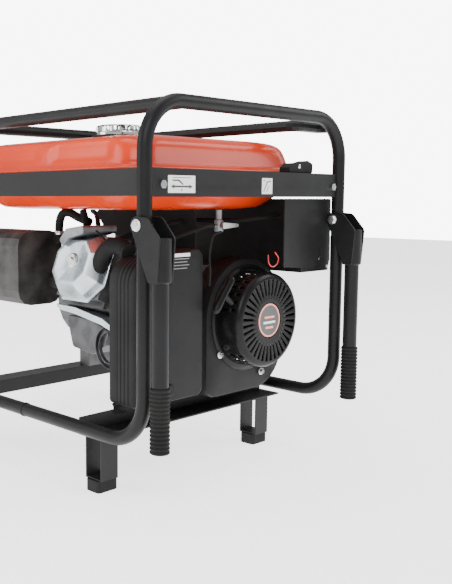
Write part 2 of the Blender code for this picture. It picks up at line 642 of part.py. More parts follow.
def make_recoil_starter():
    shroud = finish("fan_shroud", prism(shroud_outline(0.0), along_x, SHROUD_BACK_X, SHROUD_FRONT_X), plastic)
    cut(shroud, prism(shroud_outline(SHEET), along_x, SHROUD_BACK_X - 0.01, SHROUD_FRONT_X - SHEET))
    mouth = COVER_RADIUS - 0.004
    cut(shroud, rod(along_x, (CRANK_Y, CRANK_Z), mouth, SHROUD_FRONT_X - 0.01, SHROUD_FRONT_X + 0.01, 36))
    wall = COVER_WALL
    root_x = SHROUD_FRONT_X + GAP
    face = COVER_FACE_X
    profile = [(COVER_RADIUS + COVER_FLANGE, root_x), (COVER_RADIUS + COVER_FLANGE, root_x + wall),
               (COVER_RADIUS, root_x + wall), (COVER_RADIUS, face - 0.012),
               (COVER_RADIUS - 0.004, face - 0.003),
               (COVER_RADIUS - 0.010, face), (BADGE_RADIUS, face), (BADGE_RADIUS, face - 0.002),
               (0.004, face - 0.002), (0.004, face - wall - 0.002), (BADGE_RADIUS, face - wall - 0.002),
               (COVER_RADIUS - 0.012, face - wall), (COVER_RADIUS - wall, face - 0.014),
               (COVER_RADIUS - wall, root_x)]
    cover = finish("recoil_cover", turned(profile, along_x, (CRANK_Y, CRANK_Z), 36, loop=True), plastic)
    slots = bmesh.new()
    for index in range(COVER_SLOTS):
        angle = 2 * math.pi * (index + 0.5) / COVER_SLOTS
        inner = COVER_RADIUS * 0.56
        outer = COVER_RADIUS * 0.86
        half = math.pi / COVER_SLOTS * 0.5
        corners = [(inner, -half), (outer, -half), (outer, half), (inner, half)]
        slot = [(CRANK_Y + r * math.cos(angle + t), CRANK_Z + r * math.sin(angle + t)) for r, t in corners]
        prism(slot, along_x, face - 0.012, face + 0.004, slots)
    cut(cover, slots)
    pulley = [(SHAFT_RADIUS + 0.002, PULLEY_X - 0.010), (PULLEY_RADIUS + 0.012, PULLEY_X - 0.010),
              (PULLEY_RADIUS + 0.012, PULLEY_X - 0.007), (PULLEY_RADIUS, PULLEY_X - 0.006),
              (PULLEY_RADIUS, PULLEY_X + 0.006), (PULLEY_RADIUS + 0.012, PULLEY_X + 0.007),
              (PULLEY_RADIUS + 0.012, PULLEY_X + 0.010), (SHAFT_RADIUS + 0.002, PULLEY_X + 0.010)]
    finish("rope_pulley", turned(pulley, along_x, (CRANK_Y, CRANK_Z), 20, loop=True), steel,
           (PULLEY_X, CRANK_Y, CRANK_Z))
    reach = Vector((0, GRIP_HALF * math.sin(PULL_TILT), GRIP_HALF * math.cos(PULL_TILT)))
    bar = pipe([GRIP_PLACE - reach, GRIP_PLACE + reach], 0.0085, 10)
    grip = finish("starter_grip", bar, plastic, GRIP_PLACE)
    neck = Vector((0, math.cos(PULL_TILT), -math.sin(PULL_TILT)))
    join(grip, pipe([GRIP_PLACE, GRIP_PLACE + neck * 0.030], 0.005, 8))


def make_rotating_parts():
    centre = (CRANK_Y, CRANK_Z)
    nose = FAN_X - 0.012
    front = [(SHAFT_RADIUS, CYLINDER_X + 0.012), (0.052, CYLINDER_X + 0.012), (0.052, CYLINDER_X + 0.028),
             (SHAFT_RADIUS, CYLINDER_X + 0.028), (SHAFT_RADIUS, nose - GAP)]
    origin = (CYLINDER_X, CRANK_Y, CRANK_Z)
    crank = finish("crankshaft", turned(front, along_x, centre, 12), steel, origin)
    rear_end = ROTOR_START + GAP
    rear = [(SHAFT_RADIUS, rear_end), (SHAFT_RADIUS, CYLINDER_X - 0.028), (0.052, CYLINDER_X - 0.028),
            (0.052, CYLINDER_X - 0.012)]
    join(crank, turned(rear, along_x, centre, 12))
    join(crank, rod(along_x, (CRANK_Y, CRANK_Z + 0.030), 0.014, CYLINDER_X - 0.020, CYLINDER_X + 0.020, 12))
    blades = 16
    fan_low = FAN_X - 0.012
    hub = [(0.010, fan_low), (0.080, fan_low), (0.080, fan_low + 0.010), (0.030, fan_low + 0.014),
           (0.030, fan_low + 0.024), (0.010, fan_low + 0.024)]
    fan = finish("flywheel_fan", turned(hub, along_x, centre, 24), casting, (FAN_X, CRANK_Y, CRANK_Z))
    vanes = bmesh.new()
    for index in range(blades):
        angle = 2 * math.pi * index / blades
        corners = [(0.045, -0.02), (0.084, -0.035), (0.084, -0.015), (0.045, 0.02)]
        vane = [(CRANK_Y + r * math.cos(angle + t), CRANK_Z + r * math.sin(angle + t)) for r, t in corners]
        prism(vane, along_x, fan_low + 0.004, fan_low + 0.026, vanes)
    join(fan, vanes)


def make_intake():
    """Carburettor, choke and air box, in line along the crank."""
    port = across_bore(PLUG_ALONG, -0.024, 0.0)
    centre = (port.y, port.z)
    start = CYLINDER_X + 0.062 + GAP
    end = AIR_BOX_BACK - GAP
    throat = [(0.022, start), (0.022, start + 0.006), (0.015, start + 0.008), (0.015, end - 0.010),
              (0.020, end - 0.008), (0.020, end)]
    carburettor = finish("carburettor", turned(throat, along_x, centre, 14), casting)
    middle = start + 0.034
    join(carburettor, rod(along_z, (middle, port.y), BOWL_RADIUS, port.z - 0.045, port.z, 14))
    pivot = (middle - 0.012, port.y - BOWL_RADIUS - 0.0015, port.z)
    join(carburettor, rod(along_y, (pivot[0], pivot[2]), 0.004, pivot[1] + GAP, port.y, 8))
    arm = outline([(pivot[0] - 0.005, pivot[2] - 0.005), (pivot[0] + 0.005, pivot[2] - 0.005),
                   (pivot[0] + 0.004, pivot[2] + 0.038), (pivot[0] - 0.004, pivot[2] + 0.038)], 0.003, 2)
    finish("choke_lever", prism(arm, along_y, pivot[1] - 0.0025, pivot[1]), steel, pivot)
    right_z = AIR_BOX_TOP_Z
    corners = [(AIR_BOX_INNER_Y, AIR_BOX_BOTTOM_Z), (AIR_BOX_INNER_Y, right_z),
               (AIR_BOX_OUTER_Y, right_z - AIR_BOX_SLOPE), (AIR_BOX_OUTER_Y, AIR_BOX_BOTTOM_Z)]
    shell = outline(corners, [0.010, 0.012, 0.016, 0.045], 4)
    split = AIR_BOX_BACK + 0.010
    base = finish("air_box_base", prism(shell, along_x, AIR_BOX_BACK, split), plastic)
    cut(base, rod(along_x, centre, 0.015, AIR_BOX_BACK - 0.01, split + 0.01, 14))
    inset = [(AIR_BOX_INNER_Y - SHEET, AIR_BOX_BOTTOM_Z + SHEET), (AIR_BOX_INNER_Y - SHEET, right_z - SHEET),
             (AIR_BOX_OUTER_Y + SHEET, right_z - AIR_BOX_SLOPE - SHEET),
             (AIR_BOX_OUTER_Y + SHEET, AIR_BOX_BOTTOM_Z + SHEET)]
    front = split + GAP
    cover = finish("air_box_cover", prism(shell, along_x, front, AIR_BOX_FRONT), plastic)
    cut(cover, prism(outline(inset, [0.008, 0.010, 0.014, 0.043], 4), along_x, front - 0.01,
                     AIR_BOX_FRONT - SHEET))


def make_muffler():
    port = across_bore(PLUG_ALONG, -0.024, 0.0)
    body = rectangle(MUFFLER_LOW[1], MUFFLER_HIGH[1], MUFFLER_LOW[2], MUFFLER_HIGH[2], 0.030, 3)
    muffler = finish("muffler", prism(body, along_x, MUFFLER_LOW[0], MUFFLER_HIGH[0]), steel)
    join(muffler, rod(along_x, (port.y, port.z), 0.015, MUFFLER_HIGH[0] - 0.01, CYLINDER_X - 0.062 - GAP, 12))
    outlet = (MUFFLER_LOW[1] + 0.03, MUFFLER_HIGH[2] - 0.03)
    join(muffler, rod(along_x, outlet, 0.012, MUFFLER_LOW[0] - 0.018, MUFFLER_LOW[0] + 0.01, 12))
    cut(muffler, rod(along_x, outlet, 0.009, MUFFLER_LOW[0] - 0.03, MUFFLER_LOW[0] - 0.002, 12))


def make_alternator():
    centre = (CRANK_Y, CRANK_Z)
    start = BLOCK_BACK_X - COVER_PLATE - GAP
    end = start - ALTERNATOR_LENGTH
    inner = ALTERNATOR_RADIUS - ALTERNATOR_WALL
    ring = [(inner, end), (ALTERNATOR_RADIUS, end), (ALTERNATOR_RADIUS, start), (inner, start)]
    housing = finish("alternator_housing", turned(ring, along_x, centre, 24, loop=True), casting)
    join(housing, box((end + 0.001, CRANK_Y - 0.040, RAIL_Z + 0.010 + GAP),
                      (end + 0.036, CRANK_Y + 0.040, CRANK_Z - ALTERNATOR_RADIUS + ALTERNATOR_WALL * 0.7)))
    rotor_start = start - 0.012
    rotor_end = end + 0.014
    rotor = [(0.012, end - 0.020), (0.012, rotor_end - 0.010), (ROTOR_RADIUS, rotor_end),
             (ROTOR_RADIUS, rotor_start - 0.010), (SHAFT_RADIUS, rotor_start)]
    finish("alternator_rotor", turned(rotor, along_x, centre, 16), steel, (rotor_start, CRANK_Y, CRANK_Z))
    lid = [(0.012 + GAP, end - 0.026), (0.070, end - 0.026), (ALTERNATOR_RADIUS, end - 0.010),
           (ALTERNATOR_RADIUS, end - GAP), (inner - 0.004, end - GAP), (0.066, end - 0.022),
           (0.012 + GAP, end - 0.022)]
    cover = finish("alternator_end_cover", turned(lid, along_x, centre, 24, loop=True), casting)
    slots = bmesh.new()
    for index in range(8):
        angle = 2 * math.pi * index / 8
        corners = [(0.030, -0.16), (0.056, -0.16), (0.056, 0.16), (0.030, 0.16)]
        slot = [(CRANK_Y + r * math.cos(angle + t), CRANK_Z + r * math.sin(angle + t)) for r, t in corners]
        prism(slot, along_x, end - 0.04, end - 0.01, slots)
    cut(cover, slots)


def tank_ring(z, x_inset, y_low, y_high, radius):
    low = ALTERNATOR_X + TANK_INSET + x_inset
    high = RECOIL_X - TANK_INSET - x_inset
    return [Vector((u, v, z)) for u, v in rectangle(low, high, y_low, y_high, radius, 4)]


def make_tank():
    left = TANK_LEFT_Y
    right = TANK_RIGHT_Y
    seam = BEAM_TOP_Z + GAP
    top = TANK_TOP_Z
    shelf = PANEL_TOP_Z + 0.004
    rim = TANK_FLANGE
    rings = [tank_ring(TANK_BOTTOM_Z, 0.030, left + 0.050, PANEL_INNER_Y - 0.080, 0.030),
             tank_ring(TANK_BOTTOM_Z + 0.006, 0.015, left + 0.032, PANEL_INNER_Y - 0.066, 0.032),
             tank_ring(shelf, 0.008, left + 0.020, PANEL_INNER_Y - 0.051, 0.034),
             tank_ring(shelf + 0.006, 0.003, left + 0.006, right - 0.003, 0.036),
             tank_ring(seam, 0.002, left + 0.002, right - 0.002, 0.036),
             tank_ring(seam + 0.0002, -rim, left - rim, right + rim, 0.045),
             tank_ring(seam + TANK_SEAM, -rim, left - rim, right + rim, 0.045),
             tank_ring(seam + TANK_SEAM + 0.0002, 0.0, left, right, 0.038),
             tank_ring(top - 0.030, 0.002, left + 0.002, right - 0.002, 0.038),
             tank_ring(top - 0.014, 0.008, left + 0.008, right - 0.008, 0.042),
             tank_ring(top - 0.004, 0.022, left + 0.022, right - 0.022, 0.048),
             tank_ring(top, 0.044, left + 0.044, right - 0.044, 0.050)]
    finish("fuel_tank", bridge(bmesh.new(), rings), orange)
    cap = [(CAP_RADIUS - 0.006, top + GAP), (CAP_RADIUS, top + 0.002), (CAP_RADIUS, top + 0.014),
           (CAP_RADIUS - 0.005, top + 0.020)]
    finish("fuel_cap", turned(cap, along_z, CAP_PLACE, 20), plastic, (*CAP_PLACE, top))

    x, y = VALVE_PLACE
    high = TANK_BOTTOM_Z - GAP
    body = [(0.007, high - 0.042), (0.009, high - 0.040), (0.009, high - 0.020), (0.006, high - 0.018),
            (0.006, high)]
    valve = finish("fuel_valve", turned(body, along_z, (x, y), 12), casting)
    lever_z = high - 0.030
    join(valve, rod(along_x, (y, lever_z), 0.006, x, x + 0.013, 10))
    join(valve, rod(along_y, (x, lever_z), 0.003, y - 0.014, y, 8))
    pivot = (x + 0.013 + GAP, y, lever_z)
    arm = outline([(y - 0.006, lever_z - 0.006), (y + 0.040, lever_z - 0.003), (y + 0.040, lever_z + 0.003),
                   (y - 0.006, lever_z + 0.006)], 0.002, 2)
    finish("fuel_valve_lever", prism(arm, along_x, pivot[0], pivot[0] + 0.003), zinc, pivot)
    port = across_bore(PLUG_ALONG, -0.024, 0.0)
    end_x = AIR_BOX_BACK - 0.0165
    route = [(x, y - 0.014 - GAP, lever_z), (x, y - 0.034, lever_z), (end_x, port.y + 0.050, lever_z - 0.030),
             (end_x, port.y, lever_z - 0.050), (end_x, port.y, port.z + 0.0165)]
    finish("fuel_hose", pipe(rounded(route, 0.012, 3), 0.004, 8), rubber)


def make_panel():
    low_x = PANEL_END_X - PANEL_LENGTH
    wall = SHEET
    shape = box((low_x, PANEL_INNER_Y, PANEL_BOTTOM_Z), (PANEL_END_X, PANEL_OUTER_Y, PANEL_TOP_Z))
    case = finish("panel_box", shape, plastic)
    plate = outline([(PANEL_INNER_Y - 0.058, PANEL_BOTTOM_Z + 0.014), (PANEL_OUTER_Y + 0.003, PANEL_BOTTOM_Z),
                     (PANEL_OUTER_Y + 0.003, PANEL_TOP_Z), (PANEL_INNER_Y - 0.058, PANEL_TOP_Z)],
                    [0.004, 0.020, 0.004, 0.004], 3)
    join(case, prism(plate, along_x, PANEL_END_X - 0.001, PANEL_END_X + 0.0015))
    cut(case, box((low_x + wall, PANEL_INNER_Y + wall, PANEL_BOTTOM_Z + wall),
                  (PANEL_END_X - wall, PANEL_OUTER_Y + 0.01, PANEL_TOP_Z - wall)))
    seat = PANEL_OUTER_Y + GAP
    front = seat + 0.003
    board = rectangle(low_x + 0.001, PANEL_END_X - 0.003,
                      PANEL_BOTTOM_Z + 0.002, PANEL_TOP_Z - 0.001, 0.006, 2)
    face = finish("panel_face", prism(board, along_y, seat, front), plastic)
    middle = (PANEL_BOTTOM_Z + PANEL_TOP_Z) / 2
    for name, x in (("left_socket_lid", PANEL_END_X - 0.260), ("right_socket_lid", PANEL_END_X - 0.380)):
        join(face, rod(along_y, (x, middle), 0.030, front - 0.001, front + 0.010, 16))
        cut(face, rod(along_y, (x, middle), 0.022, front - 0.0005, front + 0.02, 16))
        hinge = (x, front + 0.010 + GAP, middle + 0.036)
        lid = rectangle(x - 0.030, x + 0.030, middle - 0.031, middle + 0.034, 0.008, 2)
        finish(name, prism(lid, along_y, hinge[1], hinge[1] + 0.004), plastic, hinge)
    meter_x = PANEL_END_X - 0.080
    dial = [(0.020, front + GAP), (0.026, front + GAP), (0.026, front + 0.005), (0.024, front + 0.007)]
    finish("voltmeter", turned(dial[1:], along_y, (meter_x, middle + 0.030), 16), white)
    key_z = middle - 0.035
    key = [(0.011, front + GAP), (0.011, front + 0.006), (0.008, front + 0.007)]
    switch = finish("key_switch", turned(key, along_y, (meter_x, key_z), 12), steel, (meter_x, front, key_z))
    join(switch, box((meter_x - 0.0015, front + 0.005, key_z - 0.010),
                     (meter_x + 0.0015, front + 0.020, key_z + 0.010)))
    toggle_x = PANEL_END_X - 0.160
    pivot_y = front + 0.0045
    lever = [(pivot_y - 0.0035, middle - 0.002), (pivot_y, middle - 0.004), (pivot_y + 0.012, middle - 0.0035),
             (pivot_y + 0.012, middle + 0.0035), (pivot_y, middle + 0.004),
             (pivot_y - 0.0035, middle + 0.002)]
    finish("breaker_toggle", prism(lever, along_x, toggle_x - 0.006, toggle_x + 0.006), red,
           (toggle_x, pivot_y, middle))


make_frame()
make_beams()
make_crossmembers()
make_legs()
make_wheels()
make_handles()
make_engine_block()
make_head()
make_recoil_starter()
make_rotating_parts()
make_intake()
make_muffler()
make_alternator()
make_tank()
make_panel()
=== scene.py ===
import json
import math

import bmesh
import bpy
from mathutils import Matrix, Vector


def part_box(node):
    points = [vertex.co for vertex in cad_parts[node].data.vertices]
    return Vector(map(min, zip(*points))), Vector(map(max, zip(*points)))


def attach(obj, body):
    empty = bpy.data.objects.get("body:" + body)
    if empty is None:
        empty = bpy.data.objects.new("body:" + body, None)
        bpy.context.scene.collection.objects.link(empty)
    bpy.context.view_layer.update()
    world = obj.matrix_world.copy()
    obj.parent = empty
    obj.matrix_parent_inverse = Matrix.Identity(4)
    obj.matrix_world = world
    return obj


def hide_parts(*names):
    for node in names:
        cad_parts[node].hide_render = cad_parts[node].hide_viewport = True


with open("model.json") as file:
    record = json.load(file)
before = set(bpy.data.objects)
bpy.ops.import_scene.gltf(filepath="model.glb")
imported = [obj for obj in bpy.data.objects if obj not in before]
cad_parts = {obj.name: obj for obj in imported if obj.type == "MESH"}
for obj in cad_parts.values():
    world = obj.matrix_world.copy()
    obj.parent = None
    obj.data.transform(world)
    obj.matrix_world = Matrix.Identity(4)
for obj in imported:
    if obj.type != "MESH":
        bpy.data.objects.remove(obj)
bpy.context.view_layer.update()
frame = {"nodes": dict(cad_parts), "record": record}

print("frame loaded")


class Field:  # a shader value that can be used in sums
    def __init__(self, finish, socket):
        self.finish = finish
        self.socket = socket

    def sum(self, operation, first, second):
        return self.finish.node("ShaderNodeMath", {"operation": operation}, {0: first, 1: second})

    def __add__(self, other):
        return self.sum("ADD", self, other)

    def __radd__(self, other):
        return self.sum("ADD", other, self)

    def __sub__(self, other):
        return self.sum("SUBTRACT", self, other)

    def __rsub__(self, other):
        return self.sum("SUBTRACT", other, self)

    def __mul__(self, other):
        return self.sum("MULTIPLY", self, other)

    def __rmul__(self, other):
        return self.sum("MULTIPLY", other, self)

    def __truediv__(self, other):
        return self.sum("DIVIDE", self, other)

    def __gt__(self, other):
        return self.sum("GREATER_THAN", self, other)


class Finish:  # a material and the nodes that it is made of
    def __init__(self, name, constants):
        self.material = bpy.data.materials.new(name)
        self.material.use_nodes = True
        self.tree = self.material.node_tree
        self.shader = self.tree.nodes["Principled BSDF"]
        for socket, value in constants.items():
            self.shader.inputs[socket].default_value = value

    def feed(self, socket, value):
        if isinstance(value, Field):
            self.tree.links.new(value.socket, socket)
        else:
            socket.default_value = value

    def node(self, kind, settings=None, sockets=None, output=0):
        made = self.tree.nodes.new(kind)
        for key, value in (settings or {}).items():
            setattr(made, key, value)
        for key, value in (sockets or {}).items():
            self.feed(made.inputs[key], value)
        return Field(self, made.outputs[output])

    def place(self):
        return self.node("ShaderNodeTexCoord", output="Object")

    def axis(self, name):
        return self.node("ShaderNodeSeparateXYZ", sockets={0: self.place()}, output=name)

    def noise(self, scale, detail=3.0, stretch=(1.0, 1.0, 1.0)):
        spot = self.node("ShaderNodeMapping", sockets={"Vector": self.place(), "Scale": stretch})
        return self.node("ShaderNodeTexNoise", {}, {"Vector": spot, "Scale": scale, "Detail": detail})

    def spread(self, value, low, high):  # 0 at low, 1 at high
        return self.node("ShaderNodeMapRange", {"clamp": True},
                         {"Value": value, "From Min": low, "From Max": high})

    def blend(self, amount, first, second):
        return self.node("ShaderNodeMix", {"data_type": "RGBA"}, {0: amount, 6: first, 7: second}, output=2)

    def wear(self, low=0.53, high=0.60):  # 1 on sharp edges, broken up by noise
        edge = self.node("ShaderNodeNewGeometry", output="Pointiness")
        return self.spread(edge + 0.06 * (self.noise(60.0) - 0.5), low, high)

    def relief(self, height, strength, distance):
        bump = self.node("ShaderNodeBump", {}, {"Height": height, "Strength": strength,
                                                "Distance": distance})
        self.feed(self.shader.inputs["Normal"], bump)

    def paint(self, socket, value):
        self.feed(self.shader.inputs[socket], value)


def rgb(red, green, blue):
    return (red, green, blue, 1.0)


def makeCoat(name, look):  # paint or moulded plastic with a grain, dust and worn edges
    finish = Finish(name, look["constants"])
    cloud = finish.noise(look["cloud"], 4.0)
    tone = finish.blend(finish.spread(cloud, 0.3, 0.7), look["dark"], look["light"])
    tone = finish.blend(finish.wear() * look["wear"], tone, look["bare"])
    finish.paint("Base Color", tone)
    finish.paint("Roughness", look["rough"] + look["roughSpread"] * (finish.noise(look["cloud"] * 3) - 0.5))
    finish.relief(finish.noise(look["grain"], 2.0), look["relief"], look["depth"])
    return finish.material


def makeMetal(name, look):  # bare or plated metal with a directional brush and blotches
    finish = Finish(name, look["constants"])
    blotch = finish.spread(finish.noise(look["blotch"], 5.0), 0.35, 0.70)
    finish.paint("Base Color", finish.blend(blotch, look["dark"], look["light"]))
    streak = finish.noise(look["grain"], 2.0, look["stretch"])
    finish.paint("Roughness", look["rough"] + look["roughSpread"] * (streak + blotch - 1.0))
    finish.relief(streak, look["relief"], look["depth"])
    return finish.material


satinLook = {"constants": {"Metallic": 0.0, "Specular IOR Level": 0.16}, "cloud": 9.0,
             "dark": rgb(0.0055, 0.0055, 0.006), "light": rgb(0.010, 0.010, 0.011),
             "bare": rgb(0.05, 0.05, 0.05),
             "wear": 0.18, "rough": 0.40, "roughSpread": 0.16, "grain": 520.0, "relief": 0.10,
             "depth": 0.0006}
mouldedLook = {"constants": {"Metallic": 0.0, "Specular IOR Level": 0.14}, "cloud": 12.0,
               "dark": rgb(0.006, 0.006, 0.0065),
               "light": rgb(0.011, 0.011, 0.011), "bare": rgb(0.04, 0.04, 0.04), "wear": 0.20,
               "rough": 0.48,
               "roughSpread": 0.14, "grain": 900.0, "relief": 0.22, "depth": 0.0005}
glossLook = dict(mouldedLook, rough=0.28, relief=0.06, dark=rgb(0.005, 0.005, 0.0055),
                 light=rgb(0.009, 0.009, 0.0095))
rubberLook = {"constants": {"Metallic": 0.0, "Specular IOR Level": 0.12}, "cloud": 20.0,
              "dark": rgb(0.006, 0.006, 0.006),
              "light": rgb(0.012, 0.012, 0.0115), "bare": rgb(0.035, 0.035, 0.034), "wear": 0.25,
              "rough": 0.68,
              "roughSpread": 0.18, "grain": 700.0, "relief": 0.25, "depth": 0.0006}
enamelLook = {"constants": {"Metallic": 0.0, "Coat Weight": 0.15, "Coat Roughness": 0.12,
              "Specular IOR Level": 0.3}, "cloud": 5.0,
              "dark": rgb(0.60, 0.030, 0.001), "light": rgb(0.72, 0.044, 0.002),
              "bare": rgb(0.9, 0.25, 0.12),
              "wear": 0.20, "rough": 0.26, "roughSpread": 0.10, "grain": 160.0, "relief": 0.03,
              "depth": 0.0006}
whiteLook = {"constants": {"Metallic": 0.0, "Coat Weight": 0.2}, "cloud": 16.0,
             "dark": rgb(0.70, 0.70, 0.68),
             "light": rgb(0.82, 0.82, 0.80), "bare": rgb(0.9, 0.9, 0.9), "wear": 0.2, "rough": 0.38,
             "roughSpread": 0.12, "grain": 500.0, "relief": 0.05, "depth": 0.0004}
redLook = dict(whiteLook, dark=rgb(0.45, 0.012, 0.010), light=rgb(0.60, 0.020, 0.015),
               bare=rgb(0.7, 0.1, 0.08))
orangeInkLook = dict(whiteLook, dark=rgb(0.80, 0.15, 0.05), light=rgb(0.90, 0.20, 0.07))
inkLook = dict(whiteLook, dark=rgb(0.03, 0.03, 0.035), light=rgb(0.06, 0.06, 0.065),
               bare=rgb(0.1, 0.1, 0.1))
zincLook = {"constants": {"Metallic": 1.0}, "blotch": 40.0, "dark": rgb(0.52, 0.53, 0.55),
            "light": rgb(0.78, 0.78, 0.76), "grain": 240.0, "stretch": (1.0, 1.0, 6.0), "rough": 0.28,
            "roughSpread": 0.14, "relief": 0.06, "depth": 0.0004}
castLook = {"constants": {"Metallic": 0.85}, "blotch": 26.0, "dark": rgb(0.16, 0.165, 0.17),
            "light": rgb(0.34, 0.35, 0.36), "grain": 420.0, "stretch": (1.0, 1.0, 1.0), "rough": 0.50,
            "roughSpread": 0.18, "relief": 0.35, "depth": 0.0008}
pressedLook = dict(castLook, dark=rgb(0.36, 0.40, 0.43), light=rgb(0.60, 0.65, 0.69), rough=0.30,
                   relief=0.08)
darkCastLook = dict(castLook, dark=rgb(0.07, 0.07, 0.072), light=rgb(0.16, 0.16, 0.165), rough=0.55)
ironLook = dict(castLook, dark=rgb(0.045, 0.043, 0.042), light=rgb(0.11, 0.105, 0.10), rough=0.55)
chromeLook = dict(zincLook, dark=rgb(0.74, 0.75, 0.76), light=rgb(0.86, 0.86, 0.86), rough=0.12,
                  roughSpread=0.06)

satinBlack = makeCoat("satinBlack", satinLook)
mouldedBlack = makeCoat("mouldedBlack", mouldedLook)
darkCast = makeMetal("darkCast", darkCastLook)
glossBlack = makeCoat("glossBlack", glossLook)
mattRubber = makeCoat("mattRubber", rubberLook)
orangeEnamel = makeCoat("orangeEnamel", enamelLook)
whitePlastic = makeCoat("whitePlastic", whiteLook)
redPlastic = makeCoat("redPlastic", redLook)
orangeInk = makeCoat("orangeInk", orangeInkLook)
blackInk = makeCoat("blackInk", inkLook)
greyInk = makeCoat("greyInk", dict(inkLook, dark=rgb(0.16, 0.16, 0.16), light=rgb(0.24, 0.24, 0.24)))
brightZinc = makeMetal("brightZinc", zincLook)
castAluminium = makeMetal("castAluminium", castLook)
pressedSteel = makeMetal("pressedSteel", pressedLook)
darkIron = makeMetal("darkIron", ironLook)
polishedChrome = makeMetal("polishedChrome", chromeLook)
print("finishes made")

slotFinish = {"black_paint": satinBlack, "black_plastic": mouldedBlack, "rubber": mattRubber,
              "tyre": mattRubber, "orange_paint": orangeEnamel, "zinc_steel": brightZinc,
              "cast_aluminium": castAluminium, "dark_steel": darkIron, "chrome": polishedChrome,
              "white_plastic": whitePlastic, "red_plastic": redPlastic}
darkened = ["engine_block", "crankcase_cover", "alternator_housing", "alternator_end_cover",
            "cylinder_head"]
for part in frame["record"]["subparts"]:
    node = frame["nodes"][part["node"]]
    node.data.materials.clear()
    node.data.materials.append(darkCast if part["node"] in darkened else slotFinish[part["material_slot"]])


def toX(u, v, w):
    return Vector((w, u, v))


def toY(u, v, w):
    return Vector((u, w, v))


def toZ(u, v, w):
    return Vector((u, v, w))


def newPiece(name, shape, finish, body="root", stands=(), bevel=0.0, sharp=35.0):
    bmesh.ops.recalc_face_normals(shape, faces=shape.faces)
    mesh = bpy.data.meshes.new(name)
    shape.to_mesh(mesh)
    shape.free()
    mesh.materials.append(finish)
    mesh.shade_smooth()
    mesh.set_sharp_from_angle(angle=math.radians(sharp))
    piece = bpy.data.objects.new(name, mesh)
    bpy.context.scene.collection.objects.link(piece)
    if bevel:
        edge = piece.modifiers.new("edge", "BEVEL")
        edge.width = bevel
        edge.segments = 2
        edge.limit_method = "ANGLE"
        edge.angle_limit = math.radians(35)
    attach(piece, body)
    if stands:
        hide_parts(*stands)
    return piece


def rounded(points, radius, steps, closed=False):  # arcs in place of corners; radius may be a list
    path = []
    for index, point in enumerate(points):
        corner = Vector(point)
        size = radius[index] if isinstance(radius, list) else radius
        if size <= 0 or (not closed and index in (0, len(points) - 1)):
            path.append(corner)
            continue
        before = (Vector(points[index - 1]) - corner).normalized()
        after = (Vector(points[(index + 1) % len(points)]) - corner).normalized()
        half = before.angle(after) / 2
        middle = corner + (before + after).normalized() * (size / math.sin(half))
        start = corner + before * (size / math.tan(half)) - middle
        end = corner + after * (size / math.tan(half)) - middle
        turn = start.angle(end)
        for step in range(steps + 1):
            share = step / steps
            path.append(middle + (start * math.sin((1 - share) * turn) + end * math.sin(share * turn))
                        / math.sin(turn))
    return path


def outline(points, radius, steps=6):
    return [(p.x, p.y) for p in rounded([(u, v, 0.0) for u, v in points], radius, steps, closed=True)]


def rectangle(uLow, uHigh, vLow, vHigh, radius, steps=6):
    return outline([(uLow, vLow), (uHigh, vLow), (uHigh, vHigh), (uLow, vHigh)], radius, steps)


def circle(centre, radius, sides, start=0.0):
    return [(centre[0] + radius * math.cos(start + 2 * math.pi * k / sides),
             centre[1] + radius * math.sin(start + 2 * math.pi * k / sides)) for k in range(sides)]


def bridge(rings, shape=None, loop=False):
    shape = shape or bmesh.new()
    rows = [[shape.verts.new(point) for point in ring] for ring in rings]
    pairs = list(zip(rows, rows[1:] + rows[:1])) if loop else list(zip(rows, rows[1:]))
    for row, other in pairs:
        for index in range(len(row)):
            after = (index + 1) % len(row)
            shape.faces.new((row[index], row[after], other[after], other[index]))
    if not loop:
        shape.faces.new(rows[0])
        shape.faces.new(list(reversed(rows[-1])))
    return shape


def prism(points, place, low, high, shape=None):
    return bridge([[place(u, v, w) for u, v in points] for w in (low, high)], shape)


def turned(profile, place, centre, sides, shape=None, loop=False):
    rings = [[place(u, v, w) for u, v in circle(centre, radius, sides)] for radius, w in profile]
    return bridge(rings, shape, loop)


def pipe(path, radius, sides, shape=None):
    points = [Vector(point) for point in path]
    side = (points[1] - points[0]).orthogonal().normalized()
    rings = []
    for index, point in enumerate(points):
        before = (point - points[max(index - 1, 0)]).normalized()
        after = (points[min(index + 1, len(points) - 1)] - point).normalized()
        before = before if before.length > 0 else after
        after = after if after.length > 0 else before
        side = (side - before * side.dot(before)).normalized()
        up = before.cross(side)
        normal = (before + after).normalized()
        ring = []
        for u, v in circle((0.0, 0.0), radius, sides):
            spoke = side * u + up * v
            ring.append(point + spoke - before * (spoke.dot(normal) / before.dot(normal)))
        rings.append(ring)
    return bridge(rings, shape)


def curve(points, steps=6):  # a smooth path through a few points
    spots = [Vector(point) for point in points]
    spots = [spots[0] * 2 - spots[1]] + spots + [spots[-1] * 2 - spots[-2]]
    path = []
    for index in range(1, len(spots) - 2):
        a, b, c, d = spots[index - 1:index + 3]
        for step in range(steps):
            t = step / steps
            path.append((b * 2 + (c - a) * t + (a * 2 - b * 5 + c * 4 - d) * t * t
                         + (b * 3 - a - c * 3 + d) * t * t * t) / 2)
    return path + [spots[-2]]


